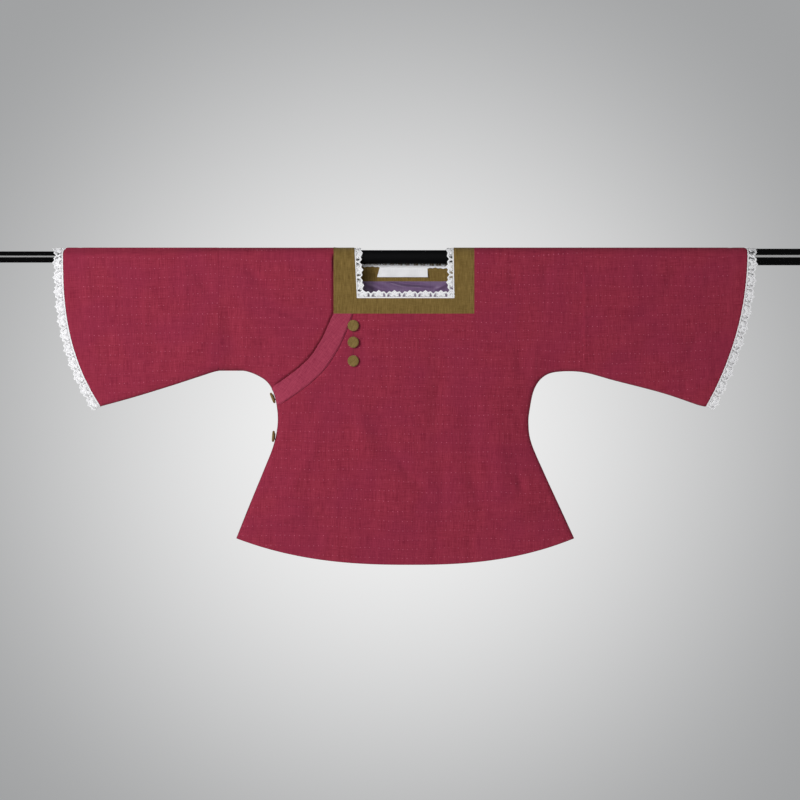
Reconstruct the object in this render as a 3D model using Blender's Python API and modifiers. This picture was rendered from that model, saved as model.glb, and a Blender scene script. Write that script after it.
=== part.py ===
"""A lined bell-sleeve top with a square neck band and a curved side opening, hung on a rod.

The garment hangs by its shoulder fold on a stepped black rod that runs through both sleeves.
Every cloth piece is drawn flat, as a maker cuts it, in two coordinates: x across the garment, and
w, the drop below the shoulder fold, which is positive on the front and negative on the back.
One function, hang, then folds the flat cloth over the rod. It also takes a third coordinate, out,
the distance outwards through the layers of cloth, so pieces that lie on each other stay apart.

Metres, +Z up, the front faces -Y, and the origin is on the rod's axis at the middle of the neck.
"""

import bisect
import math
from collections import namedtuple

import bmesh
import bpy
from mathutils import Matrix, Vector
from mathutils.geometry import intersect_point_line

Place = namedtuple("Place", "x z")
Side = namedtuple("Side", "sign seam sleeve_seam_x cuff_sweep cuff_power")
Fold = namedtuple("Fold", "x z run width lean rise")
SideButton = namedtuple("SideButton", "name z lean")

# Rod: three lengths of telescoping tube, seen at the left cuff, in the neck and at the right cuff
ROD_END_X = 0.680
ROD_THIN_RADIUS = 0.0090
ROD_MIDDLE_RADIUS = 0.0110
ROD_THICK_RADIUS = 0.0133
ROD_THIN_TO_MIDDLE_X = -0.330
ROD_MIDDLE_TO_THICK_X = 0.170
ROD_CLOTH_SPREAD = 0.070
ROD_EDGE_CHAMFER = 0.0010
ROD_SIDES = 24

# Cloth, the gaps between pieces, and the flat cells that it is divided into
WALL = 0.0015
TRIM_WALL = 0.0010
GAP = 0.0003
CELL = 0.024
CELL_SNAP = 0.0030
POINT_SPACE = 0.0140
POINT_CLEAR = 0.0060
WELD = 0.00005

# The shoulder fold over the rod, as the inside of the cloth, and the depth of the body below it
FOLD_HEIGHT = ROD_THICK_RADIUS + GAP
FOLD_STEPS = 4
HEM_DEPTH_SHARE = 0.62
SEAM_TAPER = 0.070

# Cuffs: the edge is upright at the shoulder fold and sweeps in towards the under seam
CUFF_X = 0.547
CUFF_BOTTOM_Z = -0.239
CUFF_STEPS = 14
LEFT_CUFF_SWEEP = 0.0600
RIGHT_CUFF_SWEEP = 0.0660
LEFT_CUFF_POWER = 2.75
RIGHT_CUFF_POWER = 2.1
CUFF_CORNER = 0.0060
CUFF_CORNER_DROP = 0.75 * FOLD_HEIGHT
CUFF_CORNER_PARTS = (0.0, 0.03, 0.11, 0.25, 0.50, 0.75)

# Sleeve seams and hem
LEFT_SLEEVE_SEAM_X = -0.2973
RIGHT_SLEEVE_SEAM_X = 0.2834
HEM_CORNER_Z = -0.4500
HEM_LOW_Z = -0.4923
HEM_LOW_X = 0.0090
HEM_HALF_WIDTH = 0.2703
HEM_POWER = 2.5
HEM_STEPS = 22

# Square neck band, whose hole leans a little on the viewer's left
BAND_LEFT_X = -0.1144
BAND_RIGHT_X = 0.1104
BAND_FRONT_Z = -0.0907
BAND_BACK_Z = -0.0387
NECK_LEFT_TOP_X = -0.0813
NECK_LEFT_FRONT_X = -0.0773
NECK_RIGHT_TOP_X = 0.0774
NECK_RIGHT_FRONT_X = 0.0787
NECK_FRONT_Z = -0.0661
NECK_BACK_Z = -0.0080

# Curved opening
FACING_WIDTH = 0.030
FACING_TOP_X = -0.0838
FACING_LOW_Z = -0.2385
FACING_TIP = Place(-0.2133, -0.2117)
FACING_TIP_LOW_Z = -0.2165
UNDERLAP = 0.025
UNDERLAP_LOW_Z = -0.2300
OPENING_LIFT = WALL + 2 * GAP
LIFT_FULL_X = -0.020
LIFT_NONE_X = 0.060
LIFT_FULL_Z = -0.240
LIFT_NONE_Z = -0.275
LIFT_BACK_RUN = 0.025

# Lace: its width to the valleys of its edge, and how far the points stand past them
LACE_WIDTH = 0.0112
LACE_POINT = 0.0052
LACE_REPEAT = 0.0226
NECK_LACE_WIDTH = 0.0108
NECK_LACE_POINT = 0.0026
NECK_LACE_REPEAT = 0.0250
BACK_LACE_LEFT_WIDTH = 0.0066
BACK_LACE_RIGHT_WIDTH = 0.0080
BACK_LACE_POINT = 0.0030
BACK_LACE_INSET = 0.004
LACE_PHASES = (0.0, 0.17, 0.28, 0.5, 0.72, 0.83)
LARGE_POINT_SPREAD = 0.22
SMALL_POINT_SPREAD = 0.17
SMALL_POINT_SHARE = 0.35

# Label and the lining that shows below the band's back
LABEL_TOP_Z = -0.0135
LABEL_LOW_Z = -0.0320
LABEL_TOP_LEFT_X = -0.0400
LABEL_LOW_LEFT_X = -0.0451
LABEL_TOP_RIGHT_X = 0.0356
LABEL_LOW_RIGHT_X = 0.0362
LINING_HALF_WIDTH = 0.130
LINING_LOW_Z = -0.125

# Covered buttons
BUTTON_RADIUS = 0.0090
BUTTON_HEIGHT = 0.0056
BUTTON_RIM_HEIGHT = 0.0022
BUTTON_UNDERSIDE = 0.0011
BUTTON_FOOT_RADIUS = 0.0032
BUTTON_DOME_STEPS = 5
BUTTON_SIDES = 20
CHEST_BUTTON_X = -0.0829
CHEST_BUTTON_Z = (-0.1099, -0.1365, -0.1664)
SIDE_BUTTONS = (
    SideButton("side_button_1", -0.2240, 22),
    SideButton("side_button_2", -0.2872, -4),
)

# Under-sleeve and side seam of the viewer's left, from the cuff's corner to the hem's
LEFT_SEAM = [
    Place(-0.4870, CUFF_BOTTOM_Z),
    Place(-0.4341, -0.2230),
    Place(-0.3728, -0.2026),
    Place(-0.3269, -0.1872),
    Place(LEFT_SLEEVE_SEAM_X, -0.1800),
    Place(-0.2643, -0.1814),
    Place(-0.2413, -0.1872),
    Place(-0.2200, -0.2008),
    Place(-0.2085, -0.2240),
    Place(-0.2038, -0.2608),
    Place(-0.2102, -0.2995),
    Place(-0.2270, -0.3430),
    Place(-0.2459, -0.3890),
    Place(-HEM_HALF_WIDTH, HEM_CORNER_Z),
]

# The same seam on the viewer's right
RIGHT_SEAM = [
    Place(0.4810, CUFF_BOTTOM_Z),
    Place(0.4700, -0.2374),
    Place(0.4118, -0.2178),
    Place(0.3354, -0.1979),
    Place(RIGHT_SLEEVE_SEAM_X, -0.1843),
    Place(0.2405, -0.1842),
    Place(0.2190, -0.1935),
    Place(0.2060, -0.2130),
    Place(0.1995, -0.2425),
    Place(0.1973, -0.2666),
    Place(0.2019, -0.2976),
    Place(0.2234, -0.3480),
    Place(0.2466, -0.3984),
    Place(HEM_HALF_WIDTH, HEM_CORNER_Z),
]

# Free edge of the curved opening, from the neck band's corner to the underarm
OPENING_EDGE = [
    Place(BAND_LEFT_X, BAND_FRONT_Z),
    Place(-0.1211, -0.1054),
    Place(-0.1304, -0.1266),
    Place(-0.1397, -0.1426),
    Place(-0.1502, -0.1584),
    Place(-0.1661, -0.1744),
    Place(-0.1846, -0.1890),
    Place(-0.2006, -0.2005),
    Place(-0.2100, -0.2066),
]

# Soft folds: middle of the fold, half its run, half its width, its lean in degrees, and its rise
FRONT_FOLDS = [
    Fold(-0.350, -0.120, 0.080, 0.026, -52, 0.0022),
    Fold(-0.440, -0.150, 0.070, 0.022, -24, 0.0016),
    Fold(-0.235, -0.110, 0.055, 0.018, 34, 0.0016),
    Fold(0.345, -0.110, 0.085, 0.028, 50, 0.0024),
    Fold(0.430, -0.160, 0.060, 0.022, 20, 0.0015),
    Fold(0.215, -0.120, 0.060, 0.020, -30, 0.0018),
    Fold(-0.120, -0.340, 0.100, 0.024, -10, 0.0020),
    Fold(-0.020, -0.400, 0.085, 0.026, 2, 0.0016),
    Fold(0.095, -0.370, 0.100, 0.024, 9, 0.0022),
    Fold(0.030, -0.210, 0.070, 0.030, 14, 0.0014),
]
BACK_FOLDS = [
    Fold(-0.370, -0.130, 0.075, 0.026, -46, 0.0022),
    Fold(-0.225, -0.120, 0.055, 0.020, 28, 0.0018),
    Fold(0.330, -0.120, 0.080, 0.028, 44, 0.0022),
    Fold(0.440, -0.140, 0.065, 0.022, 26, 0.0015),
    Fold(0.220, -0.110, 0.055, 0.018, -34, 0.0016),
    Fold(-0.105, -0.370, 0.100, 0.026, -8, 0.0022),
    Fold(0.010, -0.300, 0.090, 0.028, 4, 0.0016),
    Fold(0.125, -0.360, 0.095, 0.024, 11, 0.0020),
]

MATERIALS = {
    "red_cloth": ((0.245, 0.026, 0.060, 1), 0.9),
    "olive_cloth": ((0.190, 0.135, 0.042, 1), 0.9),
    "plum_lining": ((0.150, 0.090, 0.170, 1), 0.7),
    "white_lace": ((0.85, 0.85, 0.87, 1), 0.9),
    "white_label": ((0.82, 0.82, 0.84, 1), 0.6),
    "black_tube": ((0.010, 0.010, 0.012, 1), 0.25),
}


def smooth_line(places, step=POINT_SPACE):
    """A Catmull-Rom line through the places, with a point about every step, both ends kept."""
    ends = [places[0], *places, places[-1]]
    line = []
    for before, a, b, after in zip(ends, ends[1:], ends[2:], ends[3:]):
        count = max(1, round(math.dist(a, b) / step))
        for i in range(count):
            t = i / count
            line.append(Place(*(
                0.5 * (2 * p1 + (p2 - p0) * t + (2 * p0 - 5 * p1 + 4 * p2 - p3) * t * t
                       + (3 * p1 - p0 - 3 * p2 + p3) * t ** 3)
                for p0, p1, p2, p3 in zip(before, a, b, after))))
    return [*line, places[-1]]


def moved_sideways(line, distance):
    """The line moved to its left by the distance, as seen along its run."""
    moved = []
    for i, place in enumerate(line):
        a, b = line[max(i - 1, 0)], line[min(i + 1, len(line) - 1)]
        run = math.dist(a, b)
        x = place.x - distance * (b.z - a.z) / run
        moved.append(Place(x, place.z + distance * (b.x - a.x) / run))
    return moved


def height_on(line, x):
    """The height of a line at the first place where it passes x."""
    for a, b in zip(line, line[1:]):
        if min(a.x, b.x) <= x <= max(a.x, b.x):
            return a.z + (b.z - a.z) * (x - a.x) / (b.x - a.x)
    raise ValueError("the line doesn't pass there")


def place_at(line, z):
    """The last place of a line at the height z."""
    for a, b in zip(line[::-1], line[-2::-1]):
        if min(a.z, b.z) <= z <= max(a.z, b.z):
            return Place(a.x + (b.x - a.x) * (z - a.z) / (b.z - a.z), z)
    raise ValueError("the line doesn't pass there")


def trimmed(line, start, end):
    """From start down to end, with the line's own points between them that are clear of both."""
    inner = [p for p in line if end.z < p.z < start.z]
    return [start, *(p for p in inner if min(math.dist(p, start), math.dist(p, end)) > POINT_CLEAR), end]


def drop(z, side=1):
    """The flat drop w of a height z on the front, or on the back with side -1."""
    return side * (FOLD_HEIGHT - z)


def flat(places, side=1):
    """Places in the hanging view as flat points of the front, or of the back with side -1."""
    return [(place.x, drop(place.z, side)) for place in places]


def smoothstep(low, high, value):
    share = min(max((value - low) / (high - low), 0), 1)
    return share * share * (3 - 2 * share)


LEFT = Side(-1, smooth_line(LEFT_SEAM), LEFT_SLEEVE_SEAM_X, LEFT_CUFF_SWEEP, LEFT_CUFF_POWER)
RIGHT = Side(1, smooth_line(RIGHT_SEAM), RIGHT_SLEEVE_SEAM_X, RIGHT_CUFF_SWEEP, RIGHT_CUFF_POWER)
OPENING_LINE = smooth_line(OPENING_EDGE)


def seam_distance(x, z):
    """How far a place in the cloth is from the under-sleeve and side seam on its own side."""
    seam = (LEFT if x < 0 else RIGHT).seam
    place = Vector((x, z))
    least = 1.0
    for a, b in zip(seam, seam[1:]):
        nearest, share = intersect_point_line(place, Vector(a), Vector(b))
        if share < 0:
            nearest = Vector(a)
        elif share > 1:
            nearest = Vector(b)
        least = min(least, (place - nearest).length)
    return least


def fold_rise(x, z, folds):
    """The height that the soft folds add at one place."""
    rise = 0.0
    for fold in folds:
        lean = math.radians(fold.lean)
        dx, dz = x - fold.x, z - fold.z
        along = (dz * math.cos(lean) + dx * math.sin(lean)) / fold.run
        across = (dx * math.cos(lean) - dz * math.sin(lean)) / fold.width
        rise += fold.rise * math.exp(-along * along - across * across)
    return rise


def cloth_radius(x):
    """The inside radius of the cloth round the rod, which widens well before each thicker length."""
    thin = ROD_THIN_RADIUS + GAP
    middle = ROD_MIDDLE_RADIUS + GAP
    thick = ROD_THICK_RADIUS + GAP
    to_middle = smoothstep(ROD_THIN_TO_MIDDLE_X - ROD_CLOTH_SPREAD, ROD_THIN_TO_MIDDLE_X, x)
    to_thick = smoothstep(ROD_THIN_TO_MIDDLE_X, BAND_LEFT_X, x)
    return thin + (middle - thin) * to_middle + (thick - middle) * to_thick


def over_the_rod(x, share, out):
    """Depth and height on the folded cloth, at a share of its way from the crest to the rod's axis.

    The cloth falls straight from a pressed crest to the rod, and then follows the rod round.
    """
    radius = cloth_radius(x)
    contact = math.asin(min(radius / FOLD_HEIGHT, 1.0))
    straight = math.sqrt(max(FOLD_HEIGHT ** 2 - radius ** 2, 0.0))
    run = share * (straight + radius * contact)
    turn = contact if run <= straight else contact - (run - straight) / radius
    if run <= straight:
        depth, rise = run * math.sin(contact), FOLD_HEIGHT - run * math.cos(contact)
    else:
        depth, rise = radius * math.cos(turn), radius * math.sin(turn)
    crest = max(0.0, 1.0 - share * FOLD_STEPS)
    normal = Vector((math.cos(turn), math.sin(turn))).lerp(Vector((0, 1)), crest).normalized()
    return depth + out * normal.x, rise + out * normal.y


def lift(x, w):
    """How far the overlapping front stands out over the under front, from full at the opening to none."""
    across = 1 - smoothstep(LIFT_FULL_X, LIFT_NONE_X, x)
    down = smoothstep(LIFT_NONE_Z, LIFT_FULL_Z, FOLD_HEIGHT - w)
    back = smoothstep(-LIFT_BACK_RUN, 0, w)
    return OPENING_LIFT * across * down * back


def hang(x, w, out, lifted=False):
    """Folds one point of the flat cloth over the rod: across, down from the fold, out through the layers."""
    side = -1 if w >= 0 else 1
    out += lift(x, w) if lifted else 0
    if abs(w) < FOLD_HEIGHT:
        depth, z = over_the_rod(x, abs(w) / FOLD_HEIGHT, out)
        return Vector((x, side * depth, z))
    z = FOLD_HEIGHT - abs(w)
    near = min(seam_distance(x, z) / SEAM_TAPER, 1)
    full = cloth_radius(x) * (1 - (1 - HEM_DEPTH_SHARE) * z / HEM_LOW_Z)
    full += fold_rise(x, z, FRONT_FOLDS if side < 0 else BACK_FOLDS)
    depth = GAP / 2 + (full - GAP / 2) * (1 - (1 - near) ** 2)
    return Vector((x, side * (depth + out), z))


def add_object(name, mesh, material):
    """Puts a mesh into the garment's collection as one named object."""
    mesh.materials.append(bpy.data.materials[material])
    made = bpy.data.objects.new(name, mesh)
    bpy.data.collections["bell_sleeve_top"].objects.link(made)
    return made


def raised_and_hung(name, bm, wall, material, lifted):
    """Gives a flat bmesh its thickness, folds it over the rod and makes it a named object."""
    bmesh.ops.triangulate(bm, faces=bm.faces, quad_method="SHORT_EDGE", ngon_method="BEAUTY")
    raised = bmesh.ops.extrude_face_region(bm, geom=bm.faces[:])
    for vert in raised["geom"]:
        if isinstance(vert, bmesh.types.BMVert):
            vert.co.y += wall
    for vert in bm.verts:
        vert.co = hang(vert.co.x, vert.co.z, vert.co.y, lifted)
    bmesh.ops.recalc_face_normals(bm, faces=bm.faces)
    mesh = bpy.data.meshes.new(name)
    bm.to_mesh(mesh)
    bm.free()
    return add_object(name, mesh, material)


def cut_across(bm, axis, position, snap):
    """Divides a flat bmesh along one line, so that it can bend there."""
    bmesh.ops.bisect_plane(bm, geom=[*bm.verts, *bm.edges, *bm.faces], dist=snap,
                           plane_co=axis * position, plane_no=axis)


def cut_at_fold(bm, snap):
    """Divides a flat bmesh along the lines on which it bends over the rod."""
    for k in range(-FOLD_STEPS, FOLD_STEPS + 1):
        cut_across(bm, Vector((0, 0, 1)), FOLD_HEIGHT * k / FOLD_STEPS, snap)


def cloth(name, outlines, material, inner=0.0, wall=WALL, lifted=False):
    """One cloth piece: flat outlines of (x, w) points that share whole edges, cut into cells and hung."""
    bm = bmesh.new()
    for outline in outlines:
        bm.faces.new([bm.verts.new((x, inner, w)) for x, w in outline])
    bmesh.ops.remove_doubles(bm, verts=bm.verts, dist=WELD)
    xs = [v.co.x for v in bm.verts]
    ws = [v.co.z for v in bm.verts]
    for k in range(math.ceil(min(xs) / CELL), math.floor(max(xs) / CELL) + 1):
        cut_across(bm, Vector((1, 0, 0)), k * CELL, CELL_SNAP)
    cut_at_fold(bm, 2 * WELD)
    for k in range(1, math.ceil(max(map(abs, ws)) / CELL)):
        for side in (-1, 1):
            if min(ws) < side * (FOLD_HEIGHT + k * CELL) < max(ws):
                cut_across(bm, Vector((0, 0, 1)), side * (FOLD_HEIGHT + k * CELL), CELL_SNAP)
    return raised_and_hung(name, bm, wall, material, lifted)


def cuff_x(side, w):
    """The cuff's edge: upright at the shoulder fold and swept in towards the under seam."""
    return side.sign * (CUFF_X - side.cuff_sweep * (abs(w) / drop(CUFF_BOTTOM_Z)) ** side.cuff_power)


def cuff_rounding(w):
    """How far the cuff's corner is rounded back beside the shoulder fold."""
    share = max(0.0, 1 - abs(w) / CUFF_CORNER_DROP)
    return CUFF_CORNER * (1 - math.sqrt(1 - share * share))


def cuff_drops():
    """Drops down the front of a cuff's edge, close together round its corner."""
    corner = [FOLD_HEIGHT * part for part in CUFF_CORNER_PARTS]
    return [*corner, *(drop(CUFF_BOTTOM_Z) * i / CUFF_STEPS for i in range(1, CUFF_STEPS + 1))]


def sleeve(name, side):
    """A sleeve cut in one piece, folded at the shoulder, with its front and back edges met under the arm."""
    end_x = side.sleeve_seam_x + side.sign * GAP / 2
    under = [p for p in side.seam[1:] if (p.x - end_x) * side.sign > CELL_SNAP]
    front = [(cuff_x(side, w) - side.sign * cuff_rounding(w), w) for w in cuff_drops()]
    front += flat([*under, Place(end_x, height_on(side.seam, end_x))])
    back = [(x, -w) for x, w in front if w > 0]
    return cloth(name, [[*front, *reversed(back)]], "red_cloth")


def body_seam(side):
    """The under-arm curve and side seam, from the sleeve seam to the hem's corner."""
    start_x = side.sleeve_seam_x - side.sign * GAP / 2
    rest = [p for p in side.seam if (start_x - p.x) * side.sign > CELL_SNAP]
    return [Place(start_x, height_on(side.seam, start_x)), *rest]


def hem_line():
    """Places along the hem from the viewer's left corner to the right one, without the corners."""
    line = []
    for i in range(1, HEM_STEPS):
        x = HEM_HALF_WIDTH * (2 * i / HEM_STEPS - 1)
        reach = HEM_HALF_WIDTH + HEM_LOW_X if x < HEM_LOW_X else HEM_HALF_WIDTH - HEM_LOW_X
        share = abs(x - HEM_LOW_X) / reach
        line.append(Place(x, HEM_LOW_Z + (HEM_CORNER_Z - HEM_LOW_Z) * share ** HEM_POWER))
    return line


def back():
    """The back, in one piece, with the neck band's place cut out of its top."""
    left, right = body_seam(LEFT), body_seam(RIGHT)
    top, notch = -GAP / 2, drop(BAND_BACK_Z - GAP, -1)
    outline = [
        (left[0].x, top),
        *flat([*left, *hem_line(), *reversed(right)], -1),
        (right[0].x, top),
        (BAND_RIGHT_X + GAP, top),
        (BAND_RIGHT_X + GAP, notch),
        (BAND_LEFT_X - GAP, notch),
        (BAND_LEFT_X - GAP, top),
    ]
    return cloth("back", [outline], "red_cloth")


def facing_seam():
    """The seam between the opening's facing and the front, from the neck band to the side seam."""
    line = moved_sideways(OPENING_LINE, FACING_WIDTH)
    return trimmed(line, Place(FACING_TOP_X, BAND_FRONT_Z - GAP), place_at(LEFT.seam, FACING_LOW_Z))


def front():
    """The overlapping front: neck band, right shoulder, right side, hem, left side, then the facing's seam."""
    right = body_seam(RIGHT)
    seam = [Place(p.x + 0.75 * GAP, p.z - 0.75 * GAP) for p in facing_seam()]
    left = trimmed(body_seam(LEFT), place_at(LEFT.seam, seam[-1].z), LEFT_SEAM[-1])
    outline = [
        (seam[0].x, drop(BAND_FRONT_Z - GAP)),
        (BAND_RIGHT_X + GAP, drop(BAND_FRONT_Z - GAP)),
        (BAND_RIGHT_X + GAP, GAP / 2),
        (right[0].x, GAP / 2),
        *flat([*right, *reversed(hem_line()), *reversed(left), *reversed(seam[1:-1])]),
    ]
    return cloth("front", [outline], "red_cloth", lifted=True)


def facing():
    """The plain strip along the curved opening edge."""
    seam = facing_seam()
    side_edge = trimmed(body_seam(LEFT), place_at(LEFT.seam, FACING_TIP_LOW_Z), seam[-1])
    outline = flat([*OPENING_LINE, FACING_TIP, *side_edge, *reversed(seam[:-1])])
    outline[0] = (OPENING_LINE[0].x, drop(BAND_FRONT_Z - GAP))
    return cloth("opening_facing", [outline], "red_cloth", lifted=True)


def under_front():
    """The under front: left shoulder to underarm, running on under the facing and the neck band."""
    end = place_at(LEFT.seam, UNDERLAP_LOW_Z)
    corner = Place(BAND_LEFT_X + UNDERLAP, BAND_FRONT_Z)
    edge = trimmed(moved_sideways(OPENING_LINE, UNDERLAP), corner, end)
    seam = body_seam(LEFT)
    outline = [
        (seam[0].x, GAP / 2),
        *flat([*trimmed(seam[1:], seam[0], end)[:-1], *reversed(edge)]),
        (corner.x, GAP / 2),
    ]
    return cloth("under_front", [outline], "red_cloth")


def neck_band():
    """The square band round the neck, in one ring over both shoulders."""
    front_half = [
        (BAND_LEFT_X, 0), (BAND_LEFT_X, drop(BAND_FRONT_Z)), (BAND_RIGHT_X, drop(BAND_FRONT_Z)),
        (BAND_RIGHT_X, 0), (NECK_RIGHT_TOP_X, 0), (NECK_RIGHT_FRONT_X, drop(NECK_FRONT_Z)),
        (NECK_LEFT_FRONT_X, drop(NECK_FRONT_Z)), (NECK_LEFT_TOP_X, 0),
    ]
    back_half = [
        (NECK_LEFT_TOP_X, 0), (NECK_LEFT_TOP_X, drop(NECK_BACK_Z, -1)),
        (NECK_RIGHT_TOP_X, drop(NECK_BACK_Z, -1)), (NECK_RIGHT_TOP_X, 0), (BAND_RIGHT_X, 0),
        (BAND_RIGHT_X, drop(BAND_BACK_Z, -1)), (BAND_LEFT_X, drop(BAND_BACK_Z, -1)), (BAND_LEFT_X, 0),
    ]
    return cloth("neck_band", [front_half, back_half], "olive_cloth", lifted=True)


def lace_reach(run, width, point, repeat):
    """How far lace reaches from its sewn edge: one large point and a small one in each repeat."""
    phase = (run / repeat) % 1
    large = max(0.0, 1 - abs(phase - 0.5) / LARGE_POINT_SPREAD)
    small = SMALL_POINT_SHARE * max(0.0, 1 - min(phase, 1 - phase) / SMALL_POINT_SPREAD)
    return width + point * max(large, small)


def lace_runs(length, repeat):
    """The fitted repeat, with whole repeats in the length, and the runs at which the edge turns."""
    count = max(1, round(length / repeat))
    fitted = length / count
    return fitted, [fitted * (i + phase) for i in range(count) for phase in LACE_PHASES] + [length]


def lace_strip(name, inner, outer, layer, lifted=False):
    """A strip between its sewn edge and its pointed edge, given as flat vectors, hung with the cloth."""
    bm = bmesh.new()
    rows = [[bm.verts.new((p.x, layer, p.y)) for p in edge] for edge in (inner, outer)]
    for i in range(len(inner) - 1):
        bm.faces.new((rows[0][i], rows[0][i + 1], rows[1][i + 1], rows[1][i]))
    cut_at_fold(bm, 10 * WELD)
    return raised_and_hung(name, bm, TRIM_WALL, "white_lace", lifted)


def cuff_lace(name, side):
    """The lace round one cuff: sewn edge along the cuff, points outwards."""
    drops = [drop(CUFF_BOTTOM_Z) * i / (2 * CUFF_STEPS) for i in range(-2 * CUFF_STEPS, 2 * CUFF_STEPS + 1)]
    edge = [Vector((cuff_x(side, w), w)) for w in drops]
    lengths = [0.0]
    for a, b in zip(edge, edge[1:]):
        lengths.append(lengths[-1] + (b - a).length)
    repeat, runs = lace_runs(lengths[-1], LACE_REPEAT)
    for part in CUFF_CORNER_PARTS:
        for way in (-1, 1):
            corner = lengths[-1] / 2 + way * part * FOLD_HEIGHT
            runs = [run for run in runs if abs(run - corner) > WELD]
            runs.append(corner)
    inner, outer = [], []
    for run in sorted(runs):
        i = min(max(bisect.bisect_right(lengths, run) - 1, 0), len(edge) - 2)
        a, b = edge[i], edge[i + 1]
        place = a.lerp(b, (run - lengths[i]) / (b - a).length)
        along = (b - a).normalized()
        outwards = side.sign * Vector((along.y, -along.x))
        rounding = Vector((side.sign * cuff_rounding(abs(place.y) + GAP), 0))
        inner.append(place - rounding + outwards * GAP)
        outer.append(place + outwards * lace_reach(run, LACE_WIDTH, LACE_POINT, repeat))
    return lace_strip(name, inner, outer, (WALL - TRIM_WALL) / 2)


def neck_lace():
    """The lace inside the neck: down both sides from the back edge and along the front, with mitres."""
    start, bottom = drop(NECK_BACK_Z, -1) + GAP, drop(NECK_FRONT_Z) - GAP
    corners = [
        Vector((NECK_LEFT_TOP_X + GAP, start)), Vector((NECK_LEFT_TOP_X + GAP, 0)),
        Vector((NECK_LEFT_FRONT_X + GAP, bottom)), Vector((NECK_RIGHT_FRONT_X - GAP, bottom)),
        Vector((NECK_RIGHT_TOP_X - GAP, 0)), Vector((NECK_RIGHT_TOP_X - GAP, start)),
    ]
    mitred = (corners[2], corners[3])
    inner, outer = [], []
    for a, b in zip(corners, corners[1:]):
        length = (b - a).length
        along = (b - a).normalized()
        inwards = Vector((along.y, -along.x))
        repeat, runs = lace_runs(length, NECK_LACE_REPEAT)
        first = NECK_LACE_WIDTH if a in mitred else 0
        last = length - (NECK_LACE_WIDTH if b in mitred else 0)
        for run in runs:
            if run == length and b in mitred:
                inner.append(b)
                outer.append(b + NECK_LACE_WIDTH * (inwards - along))
            elif first <= run <= last and not (run == 0 and inner):
                inner.append(a + along * run)
                outer.append(inner[-1] + inwards * lace_reach(run, NECK_LACE_WIDTH, NECK_LACE_POINT, repeat))
    return lace_strip("neck_lace", inner, outer, (WALL - TRIM_WALL) / 2, lifted=True)


def back_neck_lace():
    """The lace of the back neckline, which falls inside the band: its points show below the rod."""
    top = drop(NECK_BACK_Z, -1) - 2 * GAP
    left, right = NECK_LEFT_TOP_X + BACK_LACE_INSET, NECK_RIGHT_TOP_X - BACK_LACE_INSET
    repeat, runs = lace_runs(right - left, NECK_LACE_REPEAT)
    inner, outer = [], []
    for run in runs:
        width = BACK_LACE_LEFT_WIDTH + (BACK_LACE_RIGHT_WIDTH - BACK_LACE_LEFT_WIDTH) * run / (right - left)
        inner.append(Vector((left + run, top)))
        outer.append(Vector((left + run, top - lace_reach(run, width, BACK_LACE_POINT, repeat))))
    return lace_strip("back_neck_lace", inner, outer, -2 * (TRIM_WALL + GAP))


def label():
    """The bare white label on the inside of the band's back."""
    top, low = drop(LABEL_TOP_Z, -1), drop(LABEL_LOW_Z, -1)
    outline = [
        (LABEL_TOP_LEFT_X, top), (LABEL_LOW_LEFT_X, low), (LABEL_LOW_RIGHT_X, low), (LABEL_TOP_RIGHT_X, top),
    ]
    return cloth("label", [outline], "white_label", inner=-TRIM_WALL - GAP, wall=TRIM_WALL)


def lining():
    """The lining of the back, where it shows through the neck."""
    top, low = drop(BAND_BACK_Z - GAP, -1), drop(LINING_LOW_Z, -1)
    half = LINING_HALF_WIDTH
    outline = [(-half, top), (-half, low), (half, low), (half, top)]
    return cloth("back_lining", [outline], "plum_lining", inner=-TRIM_WALL - GAP, wall=TRIM_WALL)


def turned(name, profile, sides, material, matrix):
    """A turned piece: a profile of (radius, height) points, from the top of the axis down to its foot."""
    mesh = bpy.data.meshes.new(name)
    mesh.from_pydata([(r, 0, h) for r, h in profile], [(i, i + 1) for i in range(len(profile) - 1)], [])
    made = add_object(name, mesh, material)
    made.matrix_world = matrix
    screw = made.modifiers.new("Turn", "SCREW")
    screw.steps = screw.render_steps = sides
    screw.use_merge_vertices = True
    screw.merge_threshold = WELD
    screw.use_smooth_shade = True
    return made


def button(name, place, way):
    """A covered button: a low dome, a rolled rim and a short shank, with its axis along a direction."""
    profile = [(0.0, BUTTON_HEIGHT)]
    for i in range(1, BUTTON_DOME_STEPS + 1):
        turn = math.radians(90 * i / BUTTON_DOME_STEPS)
        rise = (BUTTON_HEIGHT - BUTTON_RIM_HEIGHT) * math.cos(turn)
        profile.append((BUTTON_RADIUS * math.sin(turn), BUTTON_RIM_HEIGHT + rise))
    profile += [
        (BUTTON_RADIUS - BUTTON_UNDERSIDE, BUTTON_UNDERSIDE),
        (BUTTON_FOOT_RADIUS, BUTTON_UNDERSIDE),
        (BUTTON_FOOT_RADIUS, 0.0),
        (0.0, 0.0),
    ]
    matrix = Matrix.Translation(place) @ way.to_track_quat("Z", "Y").to_matrix().to_4x4()
    return turned(name, profile, BUTTON_SIDES, "olive_cloth", matrix)


def chest_buttons():
    """Three buttons beside the facing, each just clear of the highest cloth under its foot."""
    steps = (-BUTTON_FOOT_RADIUS, 0, BUTTON_FOOT_RADIUS)
    for number, z in enumerate(CHEST_BUTTON_Z, 1):
        under = [hang(CHEST_BUTTON_X + dx, drop(z + dz), WALL, True).y for dx in steps for dz in steps]
        button(f"chest_button_{number}", Vector((CHEST_BUTTON_X, min(under) - GAP, z)), Vector((0, -1, 0)))


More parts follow.
